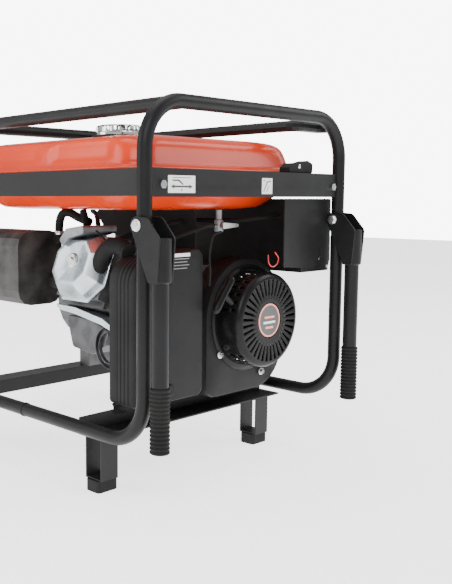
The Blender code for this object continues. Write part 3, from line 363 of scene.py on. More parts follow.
# Camera, floor and light
cameraSet = {"place": (1.2615, -1.170, 0.5293), "yaw": 42.554, "pitch": 6.099, "lens": 50.34,
             "shift": (0.1705, -0.0095)}
lens = bpy.data.cameras.new("viewer")
viewer = bpy.data.objects.new("viewer", lens)
bpy.context.scene.collection.objects.link(viewer)
yaw = math.radians(cameraSet["yaw"])
pitch = math.radians(cameraSet["pitch"])
heading = Vector((-math.cos(yaw) * math.cos(pitch), math.sin(yaw) * math.cos(pitch), -math.sin(pitch)))
viewer.location = cameraSet["place"]
viewer.rotation_mode = "QUATERNION"
viewer.rotation_quaternion = heading.to_track_quat("-Z", "Y")
lens.lens = cameraSet["lens"]
lens.sensor_width = 36.0
lens.shift_x, lens.shift_y = cameraSet["shift"]
bpy.context.scene.camera = viewer

studio = {"floor": 9.0, "sky": (1.0, 1.0, 1.0), "skyPower": 0.62, "backPower": 8.0,
          "lamps": [("keyLamp", (2.2, -2.6, 2.6), 2.2, 90.0), ("sideLamp", (-1.8, -2.6, 1.6), 1.8, 40.0),
                    ("farLamp", (1.8, 2.4, 2.2), 1.8, 45.0), ("topLamp", (0.0, 0.0, 3.0), 2.4, 50.0)]}
floorShape = bmesh.new()
bmesh.ops.create_grid(floorShape, x_segments=2, y_segments=2, size=studio["floor"])
floorMesh = bpy.data.meshes.new("floor")
floorShape.to_mesh(floorMesh)
floorShape.free()
floorFinish = Finish("paleFloor", {"Roughness": 0.7, "Specular IOR Level": 0.1, "Emission Strength": 1.9})
floorFinish.paint("Emission Color", rgb(1.0, 1.0, 1.0))
floorFinish.paint("Base Color", floorFinish.blend(floorFinish.noise(3.0), rgb(0.90, 0.90, 0.90),
                                                  rgb(0.93, 0.93, 0.93)))
floorMesh.materials.append(floorFinish.material)
floor = bpy.data.objects.new("floor", floorMesh)
bpy.context.scene.collection.objects.link(floor)
world = bpy.data.worlds.new("studio")
bpy.context.scene.world = world
world.use_nodes = True
world.node_tree.nodes["Background"].inputs["Color"].default_value = (*studio["sky"], 1.0)
rays = world.node_tree.nodes.new("ShaderNodeLightPath")
power = world.node_tree.nodes.new("ShaderNodeMapRange")
power.inputs["To Min"].default_value = studio["skyPower"]
power.inputs["To Max"].default_value = studio["backPower"]
world.node_tree.links.new(power.inputs["Value"], rays.outputs["Is Camera Ray"])
world.node_tree.links.new(world.node_tree.nodes["Background"].inputs["Strength"], power.outputs["Result"])
for lampName, place, size, power in studio["lamps"]:
    light = bpy.data.lights.new(lampName, "AREA")
    light.size = size
    light.energy = power
    lamp = bpy.data.objects.new(lampName, light)
    bpy.context.scene.collection.objects.link(lamp)
    lamp.location = place
    lamp.rotation_mode = "QUATERNION"
    lamp.rotation_quaternion = (Vector((0.0, 0.0, 0.35)) - Vector(place)).to_track_quat("-Z", "Y")
print("camera and studio set")

# Frame tubes
tubeSet = {"post": 0.2715, "rail": 0.1263, "top": 0.6883, "bend": 0.080, "radius": 0.0124,
           "ends": (0.325, -0.335)}


def hoopPath(planeX, rearX):
    post = tubeSet["post"]
    low = tubeSet["rail"]
    top = tubeSet["top"]
    corners = [(rearX, -post, low), (planeX, -post, low), (planeX, -post, top),
               (planeX, post, top), (planeX, post, low), (rearX, post, low)]
    return rounded(corners, [0, tubeSet["bend"], tubeSet["bend"], tubeSet["bend"], tubeSet["bend"], 0], 16)


middleX = sum(tubeSet["ends"]) / 2
newPiece("recoilHoop", pipe(hoopPath(tubeSet["ends"][0], middleX + 0.0002), tubeSet["radius"], 32),
         satinBlack,
         stands=["recoil_end_hoop"], sharp=50)
newPiece("alternatorHoop", pipe(hoopPath(tubeSet["ends"][1], middleX - 0.0002), tubeSet["radius"], 32),
         satinBlack,
         stands=["alternator_end_hoop"], sharp=50)
for sideY in (-tubeSet["post"], tubeSet["post"]):
    joint = turned([(0.0129, middleX - 0.004), (0.0137, middleX - 0.002), (0.0137, middleX + 0.002),
                    (0.0129, middleX + 0.004)], toX, (sideY, tubeSet["rail"]), 32)
    newPiece("railWeld" + str(sideY), joint, satinBlack)


def nodeBox(name):
    low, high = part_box(name)
    return Vector(low), Vector(high)


def ribbedGrip(name, node, body, ribs, radius):
    low, high = nodeBox(node)
    span = high - low
    long = max(range(3), key=lambda k: span[k])
    place = (toX, toY, toZ)[long]
    others = [k for k in range(3) if k != long]
    centre = tuple((low[k] + high[k]) / 2 for k in others)
    pitch = span[long] / ribs
    profile = [(radius - 0.003, low[long])]
    for rib in range(ribs):
        start = low[long] + rib * pitch
        profile += [(radius - 0.0014, start + 0.08 * pitch), (radius, start + 0.28 * pitch),
                    (radius, start + 0.62 * pitch), (radius - 0.0014, start + 0.82 * pitch)]
    profile.append((radius - 0.003, high[long]))
    newPiece(name, turned(profile, place, centre, 40), mattRubber, body, [node], sharp=60)


for side in ("cylinder", "panel"):
    low, high = nodeBox(side + "_side_handle_grip")
    span = sorted(high - low)
    ribbedGrip(side + "Grip", side + "_side_handle_grip", side + "_handle", 16, span[0] / 2)
print("frame made")

# Wheels
wheelSet = {"sides": 240}
for side in ("cylinder", "panel"):
    low, high = nodeBox(side + "_side_tyre")
    middle = (low.y + high.y) / 2
    half = (high.y - low.y) / 2
    centre = ((low.x + high.x) / 2, (low.z + high.z) / 2)
    shape = bmesh.new()
    profile = [(0.0625, -0.74), (0.074, -0.86), (0.0835, -0.99), (0.0905, -0.99), (0.0950, -0.88),
               (0.0985, -0.70),
               (0.0998, -0.40), (0.0998, -0.13), (0.0975, -0.10), (0.0975, 0.10), (0.0998, 0.13),
               (0.0998, 0.40),
               (0.0985, 0.70), (0.0950, 0.88), (0.0905, 0.99), (0.0835, 0.99), (0.074, 0.86),
               (0.0625, 0.74)]
    rings = []
    for radius, share in profile:
        ring = []
        for k in range(wheelSet["sides"]):
            turn = 2 * math.pi * k / wheelSet["sides"]
            groove = 0.0026 if radius > 0.094 and k % 4 < 2 and abs(share) > 0.12 else 0.0
            ring.append(Vector((centre[0] + (radius - groove) * math.cos(turn), middle + share * half,
                                centre[1] + (radius - groove) * math.sin(turn))))
        rings.append(ring)
    newPiece(side + "Tyre", bridge(rings, shape, loop=True), mattRubber, side + "_wheel",
             [side + "_side_tyre"], sharp=40)
    trim = turned([(0.0585, middle - half * 0.80), (0.0618, middle - half * 0.80),
                   (0.0618, middle - half * 0.86),
                   (0.0575, middle - half * 0.86)], toY, centre, 64, loop=True)
    newPiece(side + "RimEdge", trim, whitePlastic, side + "_wheel")
print("wheels made")

# Folding handles
handleSet = {"radius": 0.0139, "socket": 0.0179, "drop": 0.019, "length": 0.070, "lobe": 0.0144,
             "cheek": 0.0029}
for side in ("cylinder", "panel"):
    low, high = nodeBox(side + "_side_handle")
    gripLow, gripHigh = nodeBox(side + "_side_handle_grip")
    boltLow, boltHigh = nodeBox(side + "_side_pivot_bolt")
    pivotX = (boltLow.x + boltHigh.x) / 2
    pivotZ = (boltLow.z + boltHigh.z) / 2
    tubeX = (gripLow.x + gripHigh.x) / 2
    tubeY = (gripLow.y + gripHigh.y) / 2
    radius = handleSet["radius"]
    socketTop = pivotZ - handleSet["drop"]
    socketEnd = socketTop - handleSet["length"]
    shape = turned([(radius - 0.0012, gripHigh.z - 0.001), (radius, gripHigh.z + 0.0005),
                    (radius, socketEnd - 0.0015),
                    (handleSet["socket"] - 0.0012, socketEnd), (handleSet["socket"], socketEnd + 0.0016),
                    (handleSet["socket"], socketTop - 0.0014), (handleSet["socket"] - 0.0014, socketTop)],
                   toZ, (tubeX, tubeY), 40)
    lobe = [(pivotX + handleSet["lobe"] * math.cos(math.radians(a)),
             pivotZ + handleSet["lobe"] * math.sin(math.radians(a))) for a in range(80, 236, 12)]
    cheek = lobe + [(tubeX - 0.010, socketEnd), (tubeX + 0.010, socketEnd),
                    (tubeX + 0.016, socketTop - 0.004),
                    (tubeX + 0.014, socketTop + 0.002), (tubeX - 0.010, pivotZ + 0.010),
                    (tubeX - 0.015, pivotZ + 0.0125)]
    for flank in (-1, 1):
        edges = sorted((tubeY + flank * (high.y - low.y) / 2,
                        tubeY + flank * ((high.y - low.y) / 2 - handleSet["cheek"])))
        prism(cheek, toY, edges[0], edges[1], shape)
    newPiece(side + "Handle", shape, satinBlack, side + "_handle", [side + "_side_handle"],
             0.0006)
    bolt = turned([(0.0040, boltLow.y + 0.002), (0.0040, boltHigh.y - 0.002)], toY, (pivotX, pivotZ), 20)
    for flank, face in ((1, boltLow.y), (-1, boltHigh.y)):
        turned([(0.0098, face + flank * 0.0049), (0.0098, face + flank * 0.0039)], toY, (pivotX, pivotZ),
               32, bolt)
        turned([(0.0086, face + flank * 0.0039), (0.0086, face + flank * 0.0009),
                (0.0074, face + flank * 0.0002),
                (0.0040, face)], toY, (pivotX, pivotZ), 6, bolt)
    newPiece(side + "PivotBolt", bolt, brightZinc, stands=[side + "_side_pivot_bolt"],
             sharp=30)
print("handles made")

# Fuel tank
tankSet = {"x": (-0.275, 0.265), "y": (-0.235, 0.228), "seam": 0.5816, "flange": 0.0165, "top": 0.6438,
           "bottom": 0.5093, "points": 56}


def tankRing(inset, z, corner):
    lowX, highX = tankSet["x"]
    nearY, farY = tankSet["y"]
    corners = [(lowX + inset, nearY + inset), (highX - inset, nearY + inset),
               (highX - inset, farY - inset), (lowX + inset, farY - inset)]
    ring = []
    for number, (x, y) in enumerate(corners):
        inX = 1 if x < 0 else -1
        inY = 1 if y < 0 else -1
        centre = (x + inX * corner, y + inY * corner)
        start = math.pi * (1 + number / 2)
        for step in range(11):
            turn = start + math.pi / 2 * step / 10
            ring.append((centre[0] + corner * math.cos(turn), centre[1] + corner * math.sin(turn)))
        following = corners[(number + 1) % 4]
        nextX = 1 if following[0] < 0 else -1
        nextY = 1 if following[1] < 0 else -1
        turn = start + math.pi / 2
        goal = (following[0] + nextX * corner + corner * math.cos(turn),
                following[1] + nextY * corner + corner * math.sin(turn))
        last = ring[-1]
        for step in range(1, tankSet["points"]):
            share = step / tankSet["points"]
            ring.append((last[0] + (goal[0] - last[0]) * share, last[1] + (goal[1] - last[1]) * share))
    return [Vector((x, y, z)) for x, y in ring]


def smoothStep(value, low, high):
    share = min(max((value - low) / (high - low), 0.0), 1.0)
    return share * share * (3 - 2 * share)


def pad(value, low, high, edge):
    return smoothStep(value, low, low + edge) * (1 - smoothStep(value, high - edge, high))


profile = []
for step in range(1, 15):  # lower shell, from the bottom up
    share = step / 14
    profile.append((0.052 * (1 - share) ** 2.0 + 0.007,
                    tankSet["bottom"] + (0.5760 - tankSet["bottom"]) * share ** 1.1,
                    0.045))
profile.insert(0, (0.085, tankSet["bottom"], 0.030))
seam = tankSet["seam"]
profile += [(0.004, seam - 0.0030, 0.055), (-0.006, seam - 0.0026, 0.062),
            (-tankSet["flange"] + 0.001, seam - 0.0024, 0.066),
            (-tankSet["flange"], seam - 0.0008, 0.066), (-tankSet["flange"], seam + 0.0016, 0.066),
            (-tankSet["flange"] + 0.0012, seam + 0.0026, 0.066), (-0.006, seam + 0.0028, 0.062),
            (0.002, seam + 0.0036, 0.055), (0.006, seam + 0.0085, 0.052)]
for step in range(1, 17):
    share = step / 16
    height = seam + 0.0085 + (tankSet["top"] - seam - 0.0085) * (1 - (1 - share) ** 1.35)
    profile.append((0.006 + 0.014 * share + 0.042 * share ** 7, height, 0.046 + 0.018 * share ** 2))
rings = []
for inset, z, corner in profile:
    ring = tankRing(inset, z, corner)
    for point in ring:
        side = 1 if point.y < 0 else -1
        if inset > 0 and seam + 0.010 < z < 0.640 and abs(point.x) < 0.215:
            panel = pad(point.x, -0.205, -0.01, 0.020) + pad(point.x, 0.015, 0.200, 0.020)
            point.y += side * 0.0035 * panel * pad(z, seam + 0.012, 0.636,
                                                   0.010) if abs(point.y) > 0.14 else 0
        if inset > 0.007 and z < seam - 0.008 and abs(point.y) > 0.12:
            wedge = sum(pad(point.x, low, low + 0.16, 0.030) for low in (-0.21, -0.02))
            point.y += side * 0.0050 * wedge * pad(z, 0.514, 0.566, 0.014)
    rings.append(ring)
for share, drop in ((0.97, 0.0), (0.80, 0.0), (0.5, 0.0), (0.15, 0.0)):  # dome of the top
    top = [Vector((p.x * share, p.y * share, p.z + drop)) for p in tankRing(0.062, tankSet["top"], 0.064)]
    rings.append(top)
newPiece("fuelTank", bridge(rings), orangeEnamel, stands=["fuel_tank"], sharp=60)

capLow, capHigh = nodeBox("fuel_cap")
capCentre = ((capLow.x + capHigh.x) / 2, (capLow.y + capHigh.y) / 2)
capRadius = (capHigh.x - capLow.x) / 2
capShape = bmesh.new()
rings = []
for radius, z, dent in ((capRadius - 0.003, capLow.z, 0), (capRadius, capLow.z + 0.002, 0),
                        (capRadius, capLow.z + 0.006, 0),
                        (capRadius - 0.001, capLow.z + 0.0075, 1), (capRadius - 0.001, capHigh.z - 0.005,
                                                                    1),
                        (capRadius - 0.003, capHigh.z - 0.001, 1), (capRadius - 0.006, capHigh.z, 0),
                        (capRadius - 0.014, capHigh.z - 0.0002, 0), (capRadius - 0.0155,
                                                                     capHigh.z - 0.0022, 0),
                        (0.006, capHigh.z - 0.0016, 0)):
    ring = []
    for k in range(96):
        turn = 2 * math.pi * k / 96
        reach = radius - dent * (0.0018 if k % 6 in (0, 1) else 0.0)
        ring.append(Vector((capCentre[0] + reach * math.cos(turn), capCentre[1] + reach * math.sin(turn),
                            z)))
    rings.append(ring)
newPiece("fuelCap", bridge(rings, capShape), polishedChrome, "filler_cap", ["fuel_cap"], sharp=30)
collar = turned([(0.0415, 0.6400), (0.0500, 0.6415), (0.0500, 0.6450), (0.0440, 0.6462)], toZ, capCentre,
                64)
newPiece("fillerCollar", collar, satinBlack)
print("tank made")

# Recoil starter cover
crankY, crankZ = 0.092, 0.2963
coverSet = {"radius": 0.093, "slots": 36}
coverLow, coverHigh = nodeBox("recoil_cover")
root, face, big = coverLow.x, coverHigh.x, coverSet["radius"]
count = coverSet["slots"] * 5


def coverPoint(radius, x, k):
    turn = 2 * math.pi * k / count
    return Vector((x, crankY + radius * math.cos(turn), crankZ + radius * math.sin(turn)))


spans = [(big + 0.012, root + 0.0024), (big + 0.0006, root + 0.0024), (big, root + 0.0060),
         (big, root + 0.012),
         (big, root + 0.019), (big, root + 0.0265), (big, root + 0.034), (big, face - 0.0125),
         (big - 0.0012, face - 0.0070), (big - 0.0042, face - 0.0028), (big - 0.0090, face - 0.0006),
         (big - 0.0125, face), (0.0800, face), (0.0500, face), (0.0400, face), (0.0350, face),
         (0.0335, face - 0.0022)]
shape = bmesh.new()
rows = [[shape.verts.new(coverPoint(radius, x, k)) for k in range(count)] for radius, x in spans]
for level in range(len(spans) - 1):
    for k in range(count):
        turn = 360.0 * k / count
        slot = level == 12 and k % 5 in (1, 2)
        wall = level in (3, 4, 6) and k % 5 in (1, 2) and (96 < turn < 168 or 214 < turn < 262)
        if slot or wall:
            continue
        after = (k + 1) % count
        shape.faces.new((rows[level][k], rows[level][after], rows[level + 1][after], rows[level + 1][k]))
coverPiece = newPiece("recoilCover", shape, glossBlack, stands=["recoil_cover"], sharp=45)
thick = coverPiece.modifiers.new("wall", "SOLIDIFY")
thick.thickness = 0.0021
thick.offset = -1.0
heart = (crankY, crankZ)
liner = turned([(0.0845, root + 0.0030), (0.0845, face - 0.0080), (0.0830, face - 0.0080),
                (0.0830, root + 0.0030)], toX,
               heart, 72, loop=True)
newPiece("coverLiner", liner, mouldedBlack)
newPiece("coverBaffle", turned([(0.0825, root + 0.0330), (0.0825, root + 0.0345)], toX, heart, 72),
         mouldedBlack)
newPiece("badgeDisc", turned([(0.0345, face - 0.0050), (0.0345, face - 0.0022), (0.0300, face - 0.0018)],
                             toX, heart, 64),
         glossBlack)
newPiece("badgeRing", turned([(0.0325, face - 0.0021), (0.0325, face - 0.0008), (0.0292, face - 0.0008),
                              (0.0292, face - 0.0021)], toX, heart, 64, loop=True), orangeInk)
newPiece("badgeFace", turned([(0.0288, face - 0.0021), (0.0288, face - 0.0012)], toX, heart, 64), blackInk)
for number, (drop, wide, finish) in enumerate(((0.006, 0.030, orangeInk), (-0.004, 0.036, whitePlastic),
                                               (-0.014, 0.024, orangeInk))):
    bar = rectangle(crankY - wide / 2, crankY + wide / 2, crankZ + drop - 0.0022, crankZ + drop + 0.0022,
                    0.001, 2)
    newPiece("badgeBar" + str(number), prism(bar, toX, face - 0.0012, face - 0.0007), finish)
for number, (y, z) in enumerate(((0.0219, 0.3348), (0.1366, 0.1816), (0.178, 0.352), (0.010, 0.232))):
    head = turned([(0.0075, root + 0.002), (0.0075, root + 0.0032), (0.0062, root + 0.0036)], toX, (y, z),
                  24)
    newPiece("coverWasher" + str(number), head, brightZinc)
    newPiece("coverBolt" + str(number), turned([(0.0050, root + 0.0036), (0.0050, root + 0.0072),
                                                (0.0044, root + 0.0080)],
                                               toX, (y, z), 6), brightZinc)
# Fan shroud
shroudLow, shroudHigh = nodeBox("fan_shroud")
shroudSet = {"turns": 120, "mouth": 0.0895}


def polar(shapePoints, centre, turns):  # distance from a centre to a closed line, all round
    found = []
    for k in range(turns):
        turn = 2 * math.pi * k / turns
        c, s = math.cos(turn), math.sin(turn)
        reach = 0.0
        for number, (y0, z0) in enumerate(shapePoints):
            y1, z1 = shapePoints[(number + 1) % len(shapePoints)]
            ay, az, by, bz = y0 - centre[0], z0 - centre[1], y1 - centre[0], z1 - centre[1]
            first, second = c * az - s * ay, c * bz - s * by
            if first * second <= 0 and first != second:
                share = first / (first - second)
                reach = max(reach, c * (ay + (by - ay) * share) + s * (az + (bz - az) * share))
        found.append(reach)
    return found


shroudLine = outline([(shroudLow.y, shroudLow.z), (shroudHigh.y, shroudLow.z), (shroudHigh.y, shroudHigh.z),
                      (shroudLow.y, shroudHigh.z)], [0.030, 0.085, 0.116, 0.116], 24)
reaches = polar(shroudLine, heart, shroudSet["turns"])
shape = bmesh.new()
rows = []
for x, inset in ((shroudLow.x, 0.0), (shroudHigh.x - 0.0060, 0.0), (shroudHigh.x - 0.0018, 0.0012),
                 (shroudHigh.x - 0.0002, 0.0050), (shroudHigh.x, 0.0), (shroudHigh.x - 0.004, -0.001)):
    row = []
    for k, reach in enumerate(reaches):
        turn = 2 * math.pi * k / shroudSet["turns"]
        size = shroudSet["mouth"] + inset if len(rows) > 3 else reach - inset
        row.append(shape.verts.new((x, crankY + size * math.cos(turn), crankZ + size * math.sin(turn))))
    rows.append(row)
for row, other in zip(rows, rows[1:]):
    for k in range(len(row)):
        after = (k + 1) % len(row)
        shape.faces.new((row[k], row[after], other[after], other[k]))
shroudPiece = newPiece("fanShroud", shape, mouldedBlack, stands=["fan_shroud"], sharp=40)
thick = shroudPiece.modifiers.new("wall", "SOLIDIFY")
thick.thickness = 0.0018
thick.offset = -1.0

# Starter grip
gripSet = {"tilt": 38.0, "half": 0.036, "place": (0.2815, -0.027, 0.354)}
tilt = math.radians(gripSet["tilt"])
spot = Vector(gripSet["place"])
axis = Vector((0.0, math.sin(tilt), math.cos(tilt)))
across = Vector((0.0, math.cos(tilt), -math.sin(tilt)))
shape = bmesh.new()
rings = []
for step in range(21):
    share = -1 + 2 * step / 20
    end = math.sqrt(max(1 - abs(share) ** 7, 0.0))
    swell = 0.0084 * end * (1 - 0.10 * (1 - share * share)) + 0.0002
    ring = []
    for k in range(28):
        turn = 2 * math.pi * k / 28
        ring.append(spot + axis * (gripSet["half"] + 0.006) * share + across * (swell * 1.02 * math.cos(turn))
                    + Vector((swell * 0.98 * math.sin(turn), 0.0, 0.0)))
    rings.append(ring)
bridge(rings, shape)
newPiece("starterGrip", shape, glossBlack, "starter", ["starter_grip"], sharp=70)
neck = turned([(0.0062, 0.004), (0.0056, 0.012), (0.0046, 0.026), (0.0040, 0.030)],
              lambda u, v, w: spot + across * w + axis * v + Vector((u, 0.0, 0.0)), (0.0, 0.0), 20)
newPiece("starterNeck", neck, mouldedBlack, "starter")
print("starter made")

# Air cleaner box
boxLow, boxHigh = nodeBox("air_box_cover")
baseLow, baseHigh = nodeBox("air_box_base")
airSet = {"split": 0.226}
lowY, highY = boxLow.y, boxHigh.y


def boxShell(name, x0, x1, grow, ribs, stands):
    rings = []
    edge = 0.0035
    steps = [(x0, grow)]
    for k in range(ribs):
        start = x0 + 0.004 + (x1 - x0 - 0.012) * k / max(ribs, 1)
        wide = (x1 - x0 - 0.012) / max(ribs, 1)
        steps += [(start + 0.05 * wide, grow), (start + 0.18 * wide, grow + 0.0012),
                  (start + 0.40 * wide, grow + 0.0012),
                  (start + 0.53 * wide, grow)]
    steps += [(x1 - edge * 1.4, grow), (x1 - edge * 0.55, grow + 0.0007),
              (x1 - edge * 0.15, grow + edge * 0.45),
              (x1, grow + edge)]
    for x, inset in steps:
        corners = [(lowY + inset, boxLow.z + inset), (highY - inset, boxLow.z + inset),
                   (highY - inset, boxHigh.z - inset), (lowY + inset, boxHigh.z - 0.017 - inset * 1.05)]
        ring = outline(corners, [0.010, 0.012, 0.016, 0.045], 10)
        rings.append([Vector((x, y, z)) for y, z in ring])
    return newPiece(name, bridge(rings), mouldedBlack, stands=stands, sharp=40)


boxShell("airBoxCover", airSet["split"] + 0.0012, boxHigh.x, 0.0, 3, ["air_box_cover"])
boxShell("airBoxBase", baseLow.x, airSet["split"], 0.0008, 0, ["air_box_base"])
labelX = boxHigh.x
label = prism(rectangle(-0.1526, -0.1039, 0.4282, 0.4344, 0.0006, 2), toX, labelX - 0.0003, labelX + 0.0001)
newPiece("boxLabel", label, whitePlastic)
for number in range(4):
    bar = prism(rectangle(-0.1518, -0.1060 - 0.005 * (number % 2), 0.4245 - 0.0056 * number - 0.0008,
                          0.4245 - 0.0056 * number + 0.0008, 0.0003, 1), toX, labelX - 0.0003,
                labelX + 0.0001)
    newPiece("boxLabelBar" + str(number), bar, greyInk)
knob = turned([(0.010, boxHigh.x - 0.004), (0.011, boxHigh.x - 0.001), (0.011, boxHigh.x + 0.004),
               (0.0095, boxHigh.x + 0.006)], toX, (-0.156, boxLow.z + 0.022), 18)
newPiece("boxKnob", knob, mouldedBlack, bevel=0.0008)
print("air box made")

# Cylinder head, its cover and the pipes about it
headTilt = math.radians(21)
boreLine = Vector((0.0, -math.cos(headTilt), math.sin(headTilt)))
boreUp = Vector((0.0, math.sin(headTilt), math.cos(headTilt)))
headSet = {"x": 0.059, "start": 0.2853, "end": 0.329}


def toBore(u, v, w):
    return Vector((headSet["x"] + u, crankY, crankZ)) + boreLine * w + boreUp * v


def octagon(a, b, corner, radius=0.004):
    return outline([(-a + corner, -b), (a - corner, -b), (a, -b + corner), (a, b - corner),
                    (a - corner, b), (-a + corner, b), (-a, b - corner), (-a, -b + corner)], radius, 5)


rings = []
for along, a, b, corner, radius in ((0.2856, 0.0720, 0.0664, 0.034, 0.006),
                                    (0.2876, 0.0722, 0.0667, 0.034, 0.006),
                                    (0.2884, 0.0712, 0.0657, 0.034, 0.006),
                                    (0.2888, 0.0668, 0.0612, 0.032, 0.006),
                                    (0.2930, 0.0652, 0.0596, 0.031, 0.005),
                                    (0.2990, 0.0646, 0.0590, 0.031, 0.004),
                                    (0.3010, 0.0636, 0.0580, 0.030, 0.003),
                                    (0.3195, 0.0512, 0.0456, 0.024, 0.003),
                                    (0.3215, 0.0494, 0.0438, 0.023, 0.004),
                                    (0.3222, 0.0465, 0.0410, 0.022, 0.005),
                                    (0.3214, 0.0400, 0.0350, 0.019, 0.008),
                                    (0.3196, 0.0300, 0.0260, 0.014, 0.008),
                                    (0.3190, 0.0200, 0.0180, 0.0095, 0.006)):
    rings.append([toBore(u, v, along) for u, v in octagon(a, b, corner, radius)])
newPiece("valveCover", bridge(rings), pressedSteel, stands=["valve_cover"], sharp=25)
bolt = turned([(0.0150, 0.3186), (0.0142, 0.3206), (0.0118, 0.3216), (0.0112, 0.3226)], toBore,
              (0.0, 0.004), 40)
turned([(0.0100, 0.3224), (0.0100, 0.3236)], toBore, (0.0, 0.004), 32, bolt)
turned([(0.0066, 0.3236), (0.0066, 0.3274), (0.0056, 0.3284)], toBore, (0.0, 0.004), 6, bolt)
newPiece("coverCentreBolt", bolt, brightZinc, sharp=30)
for number, (u, v) in enumerate(((-0.056, -0.050), (0.056, -0.050), (0.056, 0.050), (-0.056, 0.050))):
    stud = turned([(0.0060, 0.2700), (0.0060, 0.2846), (0.0050, 0.2852)], toBore, (u, v), 6)
    newPiece("headBolt" + str(number), stud, darkIron)

shade = outline([(-0.090, 0.507), (0.205, 0.507), (0.205, 0.405), (0.100, 0.405), (0.040, 0.430),
                 (-0.060, 0.470)], 0.006, 3)
newPiece("rearShade", prism(shade, toY, -0.022, -0.019), mouldedBlack, bevel=0.0008)
plate = outline([(0.019, 0.452), (0.040, 0.474), (0.091, 0.481), (0.091, 0.466), (0.046, 0.455),
                 (0.030, 0.440)],
                0.004, 4)
newPiece("heatPlate", prism(plate, toY, -0.205, -0.120), castAluminium, bevel=0.001)
shelf = outline([(-0.036, 0.322), (0.030, 0.320), (0.110, 0.306), (0.150, 0.289), (0.150, 0.280),
                 (0.104, 0.294),
                 (0.030, 0.306), (-0.020, 0.311)], 0.003, 3)
newPiece("lowerShelf", prism(shelf, toY, -0.176, -0.150), pressedSteel, bevel=0.0012)
boss = outline([(-0.020, 0.300), (0.060, 0.296), (0.110, 0.280), (0.098, 0.250), (0.060, 0.228),
                (0.000, 0.236)],
               0.010, 5)
newPiece("lowerCasting", prism(boss, toY, -0.158, -0.060), darkCast, bevel=0.002)
for number, radius in enumerate((0.040, 0.030)):
    ring = turned([(radius, -0.166), (radius + 0.0012, -0.166), (radius + 0.0012, -0.158),
                   (radius, -0.158)], toY,
                  (0.120, 0.250), 48, loop=True)
    newPiece("casingRing" + str(number), ring, darkCast)

hoseRuns = {"breatherHose": ([(-0.050, -0.150, 0.440), (-0.050, -0.150, 0.478), (-0.040, -0.150, 0.499),
                              (-0.018, -0.150, 0.503), (0.008, -0.148, 0.494), (0.040, -0.146, 0.485)],
                             0.0085),
            "ignitionBoot": ([(0.037, -0.160, 0.508), (0.046, -0.160, 0.486), (0.052, -0.160, 0.462),
                              (0.062, -0.160, 0.440), (0.068, -0.160, 0.420)], 0.0070),
            "intakeArch": ([(0.112, -0.185, 0.400), (0.126, -0.188, 0.425), (0.150, -0.190, 0.443),
                            (0.180, -0.192, 0.446),
                            (0.204, -0.194, 0.436)], 0.0150),
            "throttleRod": ([(0.072, -0.172, 0.466), (0.090, -0.172, 0.470), (0.120, -0.172, 0.452)],
                            0.0016),
            "boxCable": ([(0.276, -0.030, 0.470), (0.276, -0.052, 0.462), (0.275, -0.060, 0.430),
                          (0.275, -0.058, 0.400),
                          (0.272, -0.056, 0.372)], 0.0022),
            "fuelLine": ([(0.170, -0.020, 0.488), (0.165, -0.060, 0.482), (0.150, -0.110, 0.470),
                          (0.130, -0.150, 0.455)],
                         0.0040),
            "loomA": ([(0.262, 0.160, 0.500), (0.240, 0.120, 0.492), (0.180, 0.080, 0.486),
                       (0.060, 0.040, 0.490)], 0.0050),
            "loomB": ([(-0.300, 0.150, 0.500), (-0.250, 0.120, 0.490), (-0.220, 0.100, 0.455),
                       (-0.210, 0.092, 0.420)],
                      0.0060)}
for name, (path, radius) in hoseRuns.items():
    newPiece(name, pipe(curve(path, 8), radius, 24), mattRubber, sharp=60)
redLoop = [(0.300, 0.100, 0.428), (0.301, 0.110, 0.416), (0.301, 0.104, 0.404), (0.301, 0.090, 0.401),
           (0.301, 0.080, 0.409), (0.300, 0.079, 0.424)]
newPiece("redLead", pipe(curve(redLoop, 8), 0.0013, 12), redPlastic, sharp=60)
clamp = turned([(0.0100, -0.0035), (0.0106, -0.0020), (0.0106, 0.0020), (0.0100, 0.0035)],
               lambda u, v, w: Vector((-0.050, -0.150, 0.462)) + Vector((u, v, w)), (0.0, 0.0), 32)
newPiece("hoseClamp", clamp, brightZinc)
print("engine details made")

# Stickers and screws on the upper beam
beamX = nodeBox("recoil_end_beam")[1].x
stickerSet = {"near": (-0.2209, -0.1564, 0.5396, 0.5681), "far": (0.0220, 0.0523, 0.5387, 0.5675)}
for name, (y0, y1, z0, z1) in stickerSet.items():
    newPiece(name + "Sticker", prism(rectangle(y0, y1, z0, z1, 0.0008, 2), toX, beamX + 0.0001,
                                     beamX + 0.0003),
             whitePlastic)
y0, y1, z0, z1 = stickerSet["near"]
marks = [[(y0 + 0.006, 0.5500), (y0 + 0.0145, 0.5537), (y0 + 0.0145, 0.5515), (y1 - 0.0145, 0.5515),
          (y1 - 0.0145, 0.5537), (y1 - 0.006, 0.5500), (y1 - 0.0145, 0.5463), (y1 - 0.0145, 0.5485),
          (y0 + 0.0145, 0.5485), (y0 + 0.0145, 0.5463)],
         [(y0 + 0.010, 0.5612), (y0 + 0.026, 0.5612), (y0 + 0.034, 0.5560), (y0 + 0.036, 0.5530),
          (y0 + 0.033, 0.5530),
          (y0 + 0.030, 0.5552), (y0 + 0.024, 0.5588), (y0 + 0.010, 0.5588)],
         [(y0 + 0.010, 0.5650), (y1 - 0.010, 0.5650), (y1 - 0.010, 0.5640), (y0 + 0.010, 0.5640)],
         [(y0 + 0.030, 0.5455), (y0 + 0.034, 0.5455), (y0 + 0.032, 0.5415)]]
y0, y1, z0, z1 = stickerSet["far"]
